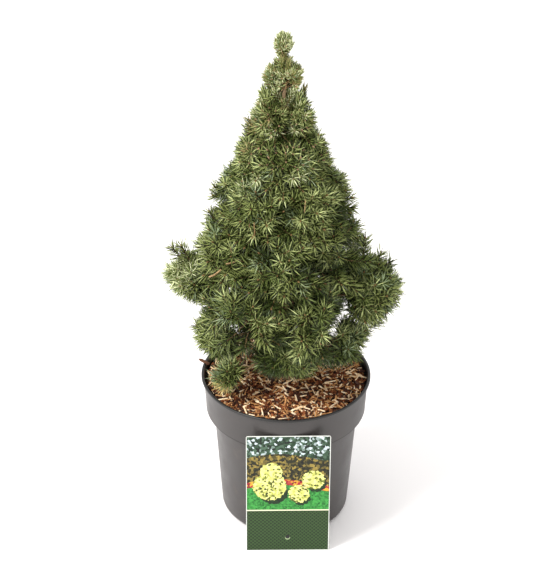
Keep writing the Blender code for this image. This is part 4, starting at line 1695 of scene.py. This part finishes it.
    def _pattern(self, name: str, shape: bmesh.types.BMesh) -> Object:
        """A shape to be repeated, not shown itself.

        Args:
            name: Its name.
            shape: The shape, which is freed.

        Returns:
            The object that holds it.
        """
        bmesh.ops.recalc_face_normals(shape, faces=shape.faces)
        made = show(name, settled(name, shape))
        made.hide_render = True
        return made

    def packs(self, lines: list[Line]) -> Iterator[list[Line]]:
        """Shoots in lots whose needles stay under the most for a piece.

        Args:
            lines: The shoots.

        Yields:
            A lot of shoots.
        """
        lot: list[Line] = []
        needles = 0.0
        for line in lines:
            length = sum((b - a).length for a, b in zip(line.points, line.points[1:]))
            here = length / self.needle_spacing + 1
            if lot and needles + here > self.most_needles:
                yield lot
                lot, needles = [], 0.0
            lot.append(line)
            needles += here
        if lot:
            yield lot

    def build(self, rooms: list[Room], skin: NodeTree) -> None:
        """Grows every mass, and makes the needles, the shoots and the buds.

        Args:
            rooms: The crown's rooms.
            skin: The tree that gives a line its round skin.
        """
        for room in rooms:
            self.grow_mass(room)
        draw = Random("bridges")
        apart = ("arm", "low_")
        for index, one in enumerate(rooms):
            for other in rooms[index + 1 :]:
                names = (one.mass.name, other.mass.name)
                if not all(any(word in name for word in apart) for name in names):
                    self.bridge(one, other, draw)
        self.grow_top([room.mass for room in rooms])
        self.grow_sprigs({room.mass.name: room.mass for room in rooms})
        nodes = [f"foliage_{room.mass.name}" for room in rooms]
        self._needles(nodes)
        self._shoots(rooms, skin, nodes)
        self._buds(nodes)

    def _needles(self, nodes: list[str]) -> None:
        """Makes the needles, one kind of piece for each tint. The shaded ones are plain spikes.

        Args:
            nodes: The solids that they stand for.
        """
        tree = needle_tree()
        full = self.needle_mesh(0.42, 0.64)
        spike = self.needle_mesh(0.0, 0.66)
        # Waxy spruce needles: a plain green with a dull gloss along each side.
        finishes = {
            tint: Finish(f"{tint.name.lower()} spruce needles", tint.value, 0.40, 1.40).build()
            for tint in Tint
        }
        for (place, tint), lines in sorted(self.lines.items(), key=lambda pair: str(pair[0])):
            foot, end = self.high_spreads if place else self.spreads
            for number, lot in enumerate(self.packs(lines), 1):
                sizes = {
                    "Needle": spike if tint is Tint.SHADE else full, "Spacing": self.needle_spacing,
                    "Width": self.needle_width, "Foot Spread": math.radians(foot),
                    "Tip Spread": math.radians(end), "Unevenness": math.radians(8.0), "Seed": 11 + number,
                    "Finish": finishes[tint],
                }
                name = f"needles_{place}{tint.name.lower()}_{number}"
                grow(name, guide_of("shoot lines", lot), tree, sizes, Slot.NEEDLES, nodes)
        for pattern in (full, spike):
            bpy.data.objects.remove(pattern)

    def _shoots(self, rooms: list[Room], skin: NodeTree, nodes: list[str]) -> None:
        """Makes the shoots under the needles, and the stems that carry them.

        Args:
            rooms: The crown's rooms.
            skin: The tree that gives a line its round skin.
            nodes: The solids that they stand for.
        """
        # One-year shoots: smooth, tan to orange-brown, slightly shiny.
        tan = FibrousWood("tan young shoots", "a8885e", 0.6, 1.45, 0.0012, "7c5e3a", "ccb084")
        lines = list(self.shoots)
        for twig in self.bare_twigs:
            line = self.shoot(Vector(twig[:3]), Vector(twig[3:6]), 0.0, 6)
            line.girths = [twig[6]] * 6
            lines.append(line)
        for mass in (room.mass for room in rooms):
            stem = self.shoot(mass.root(self.plan.trunk), mass.on_axis(0.35), 0.0, 6)
            stem.girths = [0.0019 - 0.0008 * index / 5 for index in range(6)]
            lines.append(stem)
        sizes = {"Sides": 3, "Station": 0.005, "Relief": 0.0, "Scale": 1.0, "Finish": tan.build()}
        grow("shoots", guide_of("shoot lines", lines), skin, sizes, Slot.BARK, nodes)

    def _buds(self, nodes: list[str]) -> None:
        """Makes the buds: one on each leading shoot, and larger, paler ones at the top.

        Args:
            nodes: The solids that they stand for.
        """
        bud, tree = self.bud_mesh(), bud_tree()
        high = [line for line in self.shoots if line.points[-1].z > self.top_from]
        low = [
            line for line in self.shoots if line.points[-1].z <= self.top_from and len(line.points) > 5
        ]
        # Resting buds: overlapping dry scales, brown and dull, pink-tan at the top.
        kinds = (("buds_top", high, 0.0040, "a8866a"), ("buds_crown", low, 0.0042, "80643e"))
        for name, lines, size, colour in kinds:
            finish = Finish(f"dry bud scales, {name}", colour, 0.7).build()
            sizes = {"Bud": bud, "Size": size, "Seed": 5, "Finish": finish}
            grow(name, guide_of("shoot lines", lines), tree, sizes, Slot.NEEDLES, nodes)
        bpy.data.objects.remove(bud)


@dataclass(frozen=True)
class NurseryPot:
    """The round nursery pot: a turned shell with a rolled lip and drain holes."""

    height: float = 0.177
    wall: float = 0.0016
    floor: float = 0.0024
    rim_radius: float = 0.095
    rim_depth: float = 0.0030
    rim_width: float = 0.0031
    collar_top: float = 0.0922
    collar_foot: float = 0.0900
    collar_low: float = 0.1380
    neck_radius: float = 0.0808
    neck_height: float = 0.1290
    fillet: float = 0.0028
    body_foot: float = 0.0725
    foot_round: float = 0.0090
    drains: int = 6
    drain_radius: float = 0.0045
    drain_circle: float = 0.0460
    sides: int = 144

    def profile(self) -> list[Pair]:
        """The shell's half section, up its inner side and down its outer side.

        Returns:
            Radii and heights.
        """
        lip = self.rim_radius - self.rim_width
        step = self.collar_foot - self.neck_radius
        under = self.height - self.rim_depth
        inside = [
            (0.0, self.floor), (self.body_foot - self.foot_round, self.floor),
            (self.body_foot - self.wall - 0.0015, self.floor + 0.0060),
            (self.neck_radius - self.wall, self.neck_height),
            (self.collar_foot - self.wall - 0.0010, self.collar_low + 0.0010),
            (lip - 0.0002, self.height - self.rim_depth - 0.0020), (lip, self.height - 0.0012),
        ]
        top = arc((lip + 0.0012, self.height - 0.0012), 0.0012, 180.0, 90.0, 5)
        top += arc((self.rim_radius - 0.0012, self.height - 0.0012), 0.0012, 90.0, 0.0, 5)
        top += arc((self.rim_radius - 0.0007, under + 0.0007), 0.0007, 0.0, -90.0, 3)
        collar = [(self.collar_top, under - 0.0006), (self.collar_foot, self.collar_low)]
        bulge = step - 0.0036
        shoulder = arc((self.collar_foot - bulge, self.collar_low - 0.0026), bulge, 0.0, -76.0, 8)
        edge, level = shoulder[-1]
        under_slope = math.radians(14.0)
        centre = self.neck_radius + self.fillet
        drop = (edge - centre) * math.tan(under_slope) + self.fillet / math.cos(under_slope)
        fillet = arc((centre, level - drop), self.fillet, 104.0, 176.0, 6)
        foot = arc((self.body_foot - self.foot_round, self.foot_round), self.foot_round, 0.0, -90.0, 8)
        body = [*fillet, *foot, (0.0, 0.0)]
        return inside + top + collar + shoulder + body

    def build(self, finish: Material, lip_finish: Material) -> Object:
        """Makes the pot.

        Args:
            finish: The plastic.
            lip_finish: The plastic of the rolled lip.

        Returns:
            The piece.
        """
        shape = bmesh.new()
        points = [shape.verts.new((radius, 0.0, height)) for radius, height in self.profile()]
        for one, other in zip(points, points[1:]):
            shape.edges.new((one, other))
        holder = show("pot section", settled("pot section", shape))
        turned = holder.modifiers.new("Turned", "SCREW")
        turned.steps = self.sides
        turned.render_steps = self.sides
        turned.use_merge_vertices = True
        turned.merge_threshold = 0.0001
        cutters = self._drain_cutters()
        cut = holder.modifiers.new("Drain holes", "BOOLEAN")
        cut.object = cutters
        cut.operation = "DIFFERENCE"
        solid = graph_mesh(holder, "nursery_pot")
        for guide in (holder, cutters):
            bpy.data.objects.remove(guide)
        solid.materials.append(finish)
        solid.materials.append(lip_finish)
        low = self.height - self.rim_depth
        for face in solid.polygons:
            out = math.hypot(face.center.x, face.center.y)
            face.material_index = int(face.center.z > low and out > self.rim_radius - self.rim_width)
        solid.shade_smooth()
        solid.set_sharp_from_angle(angle=math.radians(40.0))
        return finished(show("nursery_pot", solid), Slot.POT, ["pot"])

    def _drain_cutters(self) -> Object:
        """Round bars where the drain holes go.

        Returns:
            The bars, as one object.
        """
        shape = bmesh.new()
        for index in range(self.drains):
            turn = FULL_TURN * (index + 0.5) / self.drains
            place = (self.drain_circle * math.cos(turn), self.drain_circle * math.sin(turn), 0.0)
            bmesh.ops.create_cone(
                shape, cap_ends=True, segments=24, radius1=self.drain_radius, radius2=self.drain_radius,
                depth=0.02, matrix=Matrix.Translation(place),
            )
        return show("drain cutters", settled("drain cutters", shape))


@dataclass(frozen=True)
class Shred:
    """A kind of shredded bark: its sizes, its number and its colour."""

    name: str
    length: float
    width: float
    thickness: float
    count: int
    tilt: float
    lift: float
    darker: str
    colour: str
    lighter: str


@dataclass(frozen=True)
class BarkMulch:
    """The mulch: an uneven bed with shredded bark of several kinds strewn over it."""

    radius: float = 0.0898
    edge: float = 0.1672
    crown: float = 0.1702
    foot: float = 0.1583
    rings: int = 22
    sides: int = 96
    unevenness: float = 0.0011
    shreds: tuple[Shred, ...] = (
        Shred("dark_plates", 0.0085, 0.0048, 0.0018, 620, 34.0, 0.0030, "1c0b03", "381808", "5e321a"),
        Shred("red_chips", 0.0070, 0.0022, 0.0012, 1350, 36.0, 0.0040, "4a2009", "743a16", "a6683a"),
        Shred("tan_fibres", 0.0092, 0.0010, 0.0009, 1150, 32.0, 0.0050, "986030", "c89058", "e6be8c"),
        Shred("pale_splinters", 0.0088, 0.0013, 0.0010, 760, 28.0, 0.0056, "e2b682", "ffe4ba", "fff4e0"),
    )
    rim_chip: Triple = (-0.0925, 0.0190, 0.1768)  # it leans out over the lip

    def bed(self, reach: float, name: str) -> Mesh:
        """The bed's upper surface, out to a radius.

        Args:
            reach: The bed's radius.
            name: The mesh's name.

        Returns:
            The surface.
        """
        shape = bmesh.new()
        middle = shape.verts.new((0.0, 0.0, self.crown))
        rows = []
        for ring in range(1, self.rings + 1):
            out = reach * ring / self.rings
            row = []
            for side in range(self.sides):
                turn = FULL_TURN * side / self.sides
                place = Vector((out * math.cos(turn), out * math.sin(turn), 0.0))
                share = out / self.radius
                height = self.crown + (self.edge - self.crown) * share**2.5
                height += noise.noise(place * 150.0) * self.unevenness * (1.0 - share**6)
                row.append(shape.verts.new((place.x, place.y, height)))
            rows.append(row)
        for side in range(self.sides):
            after = (side + 1) % self.sides
            shape.faces.new((middle, rows[0][side], rows[0][after]))
            for inner, outer in zip(rows, rows[1:]):
                shape.faces.new((inner[side], outer[side], outer[after], inner[after]))
        return settled(name, shape)

    def close_bed(self, mesh: Mesh) -> None:
        """Gives the bed its side and its underside.

        Args:
            mesh: The bed's upper surface.
        """
        shape = bmesh.new()
        shape.from_mesh(mesh)
        border = [edge for edge in shape.edges if edge.is_boundary]
        made = bmesh.ops.extrude_edge_only(shape, edges=border)
        low = [item for item in made["geom"] if isinstance(item, bmesh.types.BMVert)]
        for point in low:
            point.co.z = self.foot
        bmesh.ops.contextual_create(shape, geom=[e for e in shape.edges if e.is_boundary])
        bmesh.ops.recalc_face_normals(shape, faces=shape.faces)
        shape.to_mesh(mesh)
        shape.free()

    def shred(self, kind: Shred) -> Object:
        """One torn piece of bark: a thin uneven plate with ragged ends.

        Args:
            kind: The kind of shred.

        Returns:
            The piece.
        """
        draw = Random(kind.name)
        shape = bmesh.new()
        corners = ((-0.50, -0.12), (-0.40, -0.50), (0.32, -0.44), (0.50, 0.04), (0.40, 0.5), (-0.34, 0.4))
        outline = [
            (kind.length * (x + draw.uniform(-0.06, 0.06)), kind.width * (y + draw.uniform(-0.1, 0.1)))
            for x, y in corners
        ]
        face = shape.faces.new([shape.verts.new((x, y, 0.0)) for x, y in outline])
        made = bmesh.ops.extrude_face_region(shape, geom=[face])
        for item in made["geom"]:
            if isinstance(item, bmesh.types.BMVert):
                item.co.z += kind.thickness * draw.uniform(0.6, 1.3)
                item.co.x *= 0.94
                item.co.y *= 0.86
        bmesh.ops.recalc_face_normals(shape, faces=shape.faces)
        return show(f"{kind.name} pattern", settled(kind.name, shape))

    def build(self) -> None:
        """Makes the bed and strews each kind of shred over it."""
        # Composted bark fines: near black-brown when moist, with no gloss; the darkness is partly painted
        # shade, for the gaps between the chips.
        fines = FibrousWood(
            "moist bark fines", "301607", 0.95, pore=0.0024, darker="180b04", lighter="5c3014"
        )
        mesh = self.bed(self.radius, "mulch_bed")
        self.close_bed(mesh)
        mesh.materials.append(fines.build())
        mesh.shade_smooth()
        finished(show("mulch_bed", mesh), Slot.MULCH, ["bark_mulch"])
        tree = scatter_tree()
        for number, kind in enumerate(self.shreds):
            reach = self.radius - kind.length * 0.42
            # Torn bark and sapwood: dull, with fibres along the grain.
            torn = FibrousWood(
                f"torn bark {kind.name}", kind.colour, 0.85, pore=0.0030, darker=kind.darker,
                lighter=kind.lighter,
            )
            pattern = self.shred(kind)
            sizes = {
                "Shred": pattern, "Density": kind.count / (math.pi * reach * reach),
                "Least": (0.30, 0.5, 0.8), "Most": (1.65, 1.8, 1.3), "Tilt": math.radians(kind.tilt),
                "Lift": kind.lift, "Seed": 30 + number, "Finish": torn.build(),
            }
            area = self.bed(reach, "strewn area")
            grow(f"mulch_{kind.name}", area, tree, sizes, Slot.MULCH, ["bark_mulch"])
            bpy.data.objects.remove(pattern)
        self.lean_chip(self.shreds[0])

    def lean_chip(self, kind: Shred) -> None:
        """Leans one plate of dark bark on the lip, where it stands out over the rim.

        Args:
            kind: The kind of shred.
        """
        chip = self.shred(kind)
        chip.name = chip.data.name = "mulch_rim_chip"
        turn = Matrix.Rotation(math.radians(168.0), 4, "Z") @ Matrix.Rotation(math.radians(-26.0), 4, "Y")
        size = Matrix.Diagonal((1.7, 0.7, 1.2, 1.0))
        chip.data.transform(Matrix.Translation(self.rim_chip) @ turn @ size)
        finish = FibrousWood("torn bark at the rim", "6a4630", 0.85, darker="3a2216")
        chip.data.materials.append(finish.build())
        finished(chip, Slot.MULCH, ["bark_mulch"])


@dataclass(frozen=True)
class PictureLabel:
    """The picture label: a thin printed card that leans on the pot's collar."""

    width: float = 0.0928
    height: float = 0.1548
    thickness: float = 0.0008
    corner: float = 0.0022
    yaw: float = math.radians(1.3)
    across: float = 0.0028
    foot_out: float = 0.0961
    lean_top: float = 0.09177
    # A near-black dome on the card's face is painted shade, for the hole and the shadow behind it.
    plug_radius: float = 0.0025
    plug_rise: float = 0.0004
    plug_height: float = 0.0190

    def place(self) -> Matrix:
        """Where the card stands: on its lower edge, its back on the collar.

        Returns:
            The card's place and turn.
        """
        lean = math.asin((self.foot_out - self.lean_top) / self.height)
        low = self.thickness / 2.0 * math.sin(lean)
        turn = Matrix.Rotation(self.yaw, 4, "Z") @ Matrix.Rotation(math.pi / 2.0 - lean, 4, "X")
        return Matrix.Translation((self.across, -self.foot_out, low)) @ turn

    def build(self, face: Material, back: Material) -> Object:
        """Makes the card.

        Args:
            face: The printed side.
            back: The unprinted side and the cut edge.

        Returns:
            The piece.
        """
        # Painted shade: a near-black dome with a low sheen, standing for the shadow seen through the hole
        # punched in the card.
        hole_shade_finish = Finish("black plug of the card", "0a0b0a", 0.5, 1.49).build()
        curve = bpy.data.curves.new("card outline", "CURVE")
        curve.dimensions = "2D"
        curve.fill_mode = "BOTH"
        curve.extrude = self.thickness / 2.0
        half = self.width / 2.0 - self.corner
        top = self.height - self.corner
        corners = ((half, self.corner, -90.0), (half, top, 0.0))
        corners += ((-half, top, 90.0), (-half, self.corner, 180.0))
        outline = []
        for across, height, start in corners:
            outline += arc((across, height), self.corner, start, start + 90.0, 6)
        spline = curve.splines.new("POLY")
        spline.points.add(len(outline) - 1)
        for point, (across, height) in zip(spline.points, outline):
            point.co = (across, height, 0.0, 1.0)
        spline.use_cyclic_u = True
        holder = show("card outline", curve)
        flat = graph_mesh(holder, "picture_label")
        bpy.data.objects.remove(holder)
        flat.materials.clear()
        for finish in (face, back, hole_shade_finish):
            flat.materials.append(finish)
        shape = bmesh.new()
        shape.from_mesh(flat)
        bmesh.ops.remove_doubles(shape, verts=shape.verts, dist=1e-6)
        bmesh.ops.recalc_face_normals(shape, faces=shape.faces)
        chart = shape.loops.layers.uv.new("print")
        for facet in shape.faces:
            facet.material_index = int(facet.normal.z < 0.5)
            for loop in facet.loops:
                spot = loop.vert.co
                loop[chart].uv = (spot.x / self.width + 0.5, spot.y / self.width)
        size = Matrix.Diagonal((self.plug_radius, self.plug_radius, self.plug_rise, 1.0))
        spot = Matrix.Translation((0.0, self.plug_height, self.thickness / 2.0))
        # The dark dome: painted shade for the hole.
        hole_shade = bmesh.ops.create_icosphere(shape, subdivisions=3, radius=1.0, matrix=spot @ size)
        for facet in {facet for point in hole_shade["verts"] for facet in point.link_faces}:
            facet.material_index = 2
        shape.to_mesh(flat)
        shape.free()
        flat.transform(self.place())
        return finished(show("picture_label", flat), Slot.LABEL, ["label"])


@dataclass(frozen=True)
class Studio:
    """A plain white table under soft light, and a camera at the photograph's angle."""

    camera_place: Triple = (-0.0151, -1.816, 1.392)
    camera_pitch: float = math.radians(58.72)
    camera_roll: float = math.radians(0.32)
    lens: float = 121.9
    key_place: Triple = (-1.6, -1.0, 2.2)
    key_size: float = 0.9
    key_power: float = 70.0
    sky: float = 1.22

    def build(self) -> None:
        """Makes the table, the lights and the camera."""
        self._table()
        self._light()
        self._camera()

    def _table(self) -> None:
        """A wide white table, a hair under the pot."""
        shape = bmesh.new()
        bmesh.ops.create_grid(shape, x_segments=1, y_segments=1, size=8.0)
        mesh = settled("white table", shape)
        # Matt white laminate: no gloss, a clean even white.
        mesh.materials.append(Finish("white table laminate", "fcfafa", 0.9).build())
        mesh.transform(Matrix.Translation((0.0, 0.0, -0.0003)))
        show("table", mesh)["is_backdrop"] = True

    def _light(self) -> None:
        """A white sky, and one large lamp from the left and the front."""
        world = bpy.data.worlds.new("white sky")
        world.use_nodes = True
        sky = world.node_tree.nodes["Background"]
        sky.inputs["Color"].default_value = linear("fffefd")
        sky.inputs["Strength"].default_value = self.sky
        bpy.context.scene.world = world
        lamp = bpy.data.lights.new("key lamp", "AREA")
        lamp.shape = "DISK"
        lamp.size = self.key_size
        lamp.energy = self.key_power
        lamp.color = (1.0, 0.985, 0.96)
        holder = show("key lamp", lamp)
        aim = Vector((0.0, 0.0, 0.3)) - Vector(self.key_place)
        holder.location = self.key_place
        holder.rotation_euler = aim.to_track_quat("-Z", "Y").to_euler()

    def _camera(self) -> None:
        """The camera, at the distance and angle that the pot's outline gives."""
        lens = bpy.data.cameras.new("camera")
        lens.lens = self.lens
        lens.sensor_width = 36.0
        holder = show("camera", lens)
        turn = Matrix.Rotation(self.camera_pitch, 4, "X") @ Matrix.Rotation(self.camera_roll, 4, "Z")
        holder.matrix_world = Matrix.Translation(self.camera_place) @ turn
        bpy.context.scene.camera = holder


def dress_mix() -> None:
    """Gives the potting mix under the mulch its finish; its solid stays."""
    # Moist bark compost: crumbly, near black.
    mix = FibrousWood("moist potting mix", "251911", 0.95, pore=0.0030, lighter="4a3322").build()
    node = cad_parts["potting_mix"]
    node.material_slots[0].material = mix


def main() -> None:
    """Builds the pot, the mulch, the limbs, the foliage, the label and the studio."""
    bpy.context.scene.view_settings.view_transform = "Standard"
    plastic = MouldedPolypropylene("grey moulded polypropylene", "302d2c", 0.38, 1.52).build()
    lip = MouldedPolypropylene(
        "dark lip of the pot", "121110", 0.38, 1.49, cloudy="181716", dusty="211e1c"
    ).build()
    NurseryPot().build(plastic, lip)
    dress_mix()
    BarkMulch().build()
    trunk = Trunk()
    plan = CrownPlan(trunk)
    rooms = plan.rooms()
    skin = limb_tree()
    # Young spruce bark: thin grey-brown scales, rough and dull.
    bark = FibrousWood("scaly spruce bark", "8a6a50", 0.9, pore=0.0022, lighter="b8957a").build()
    trunk.build(skin, bark)
    # Last years' bark: smooth, pink-tan, not yet grey.
    young = FibrousWood("pink-tan young bark", "c2a07e", 0.75, 1.45, 0.0016, "8a6a50", "dcc0a0")
    Leader().build(trunk, skin, young.build())
    Boughs(plan).build(rooms, skin, bark)
    Foliage(plan).build(rooms, skin)
    face = PrintedCard("varnished offset print", "3f6a42", 0.36, 1.4).build()
    back = Finish("uncoated card", "d9dad3", 0.8).build()
    PictureLabel().build(face, back)
    Studio().build()
    boxes = {"cad": CAD_BOX, "visual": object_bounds()}
    plain = {name: [list(corner) for corner in box] for name, box in boxes.items()}


if __name__ == "__main__":
    logging.basicConfig(level=logging.INFO, format="%(message)s")
    main()
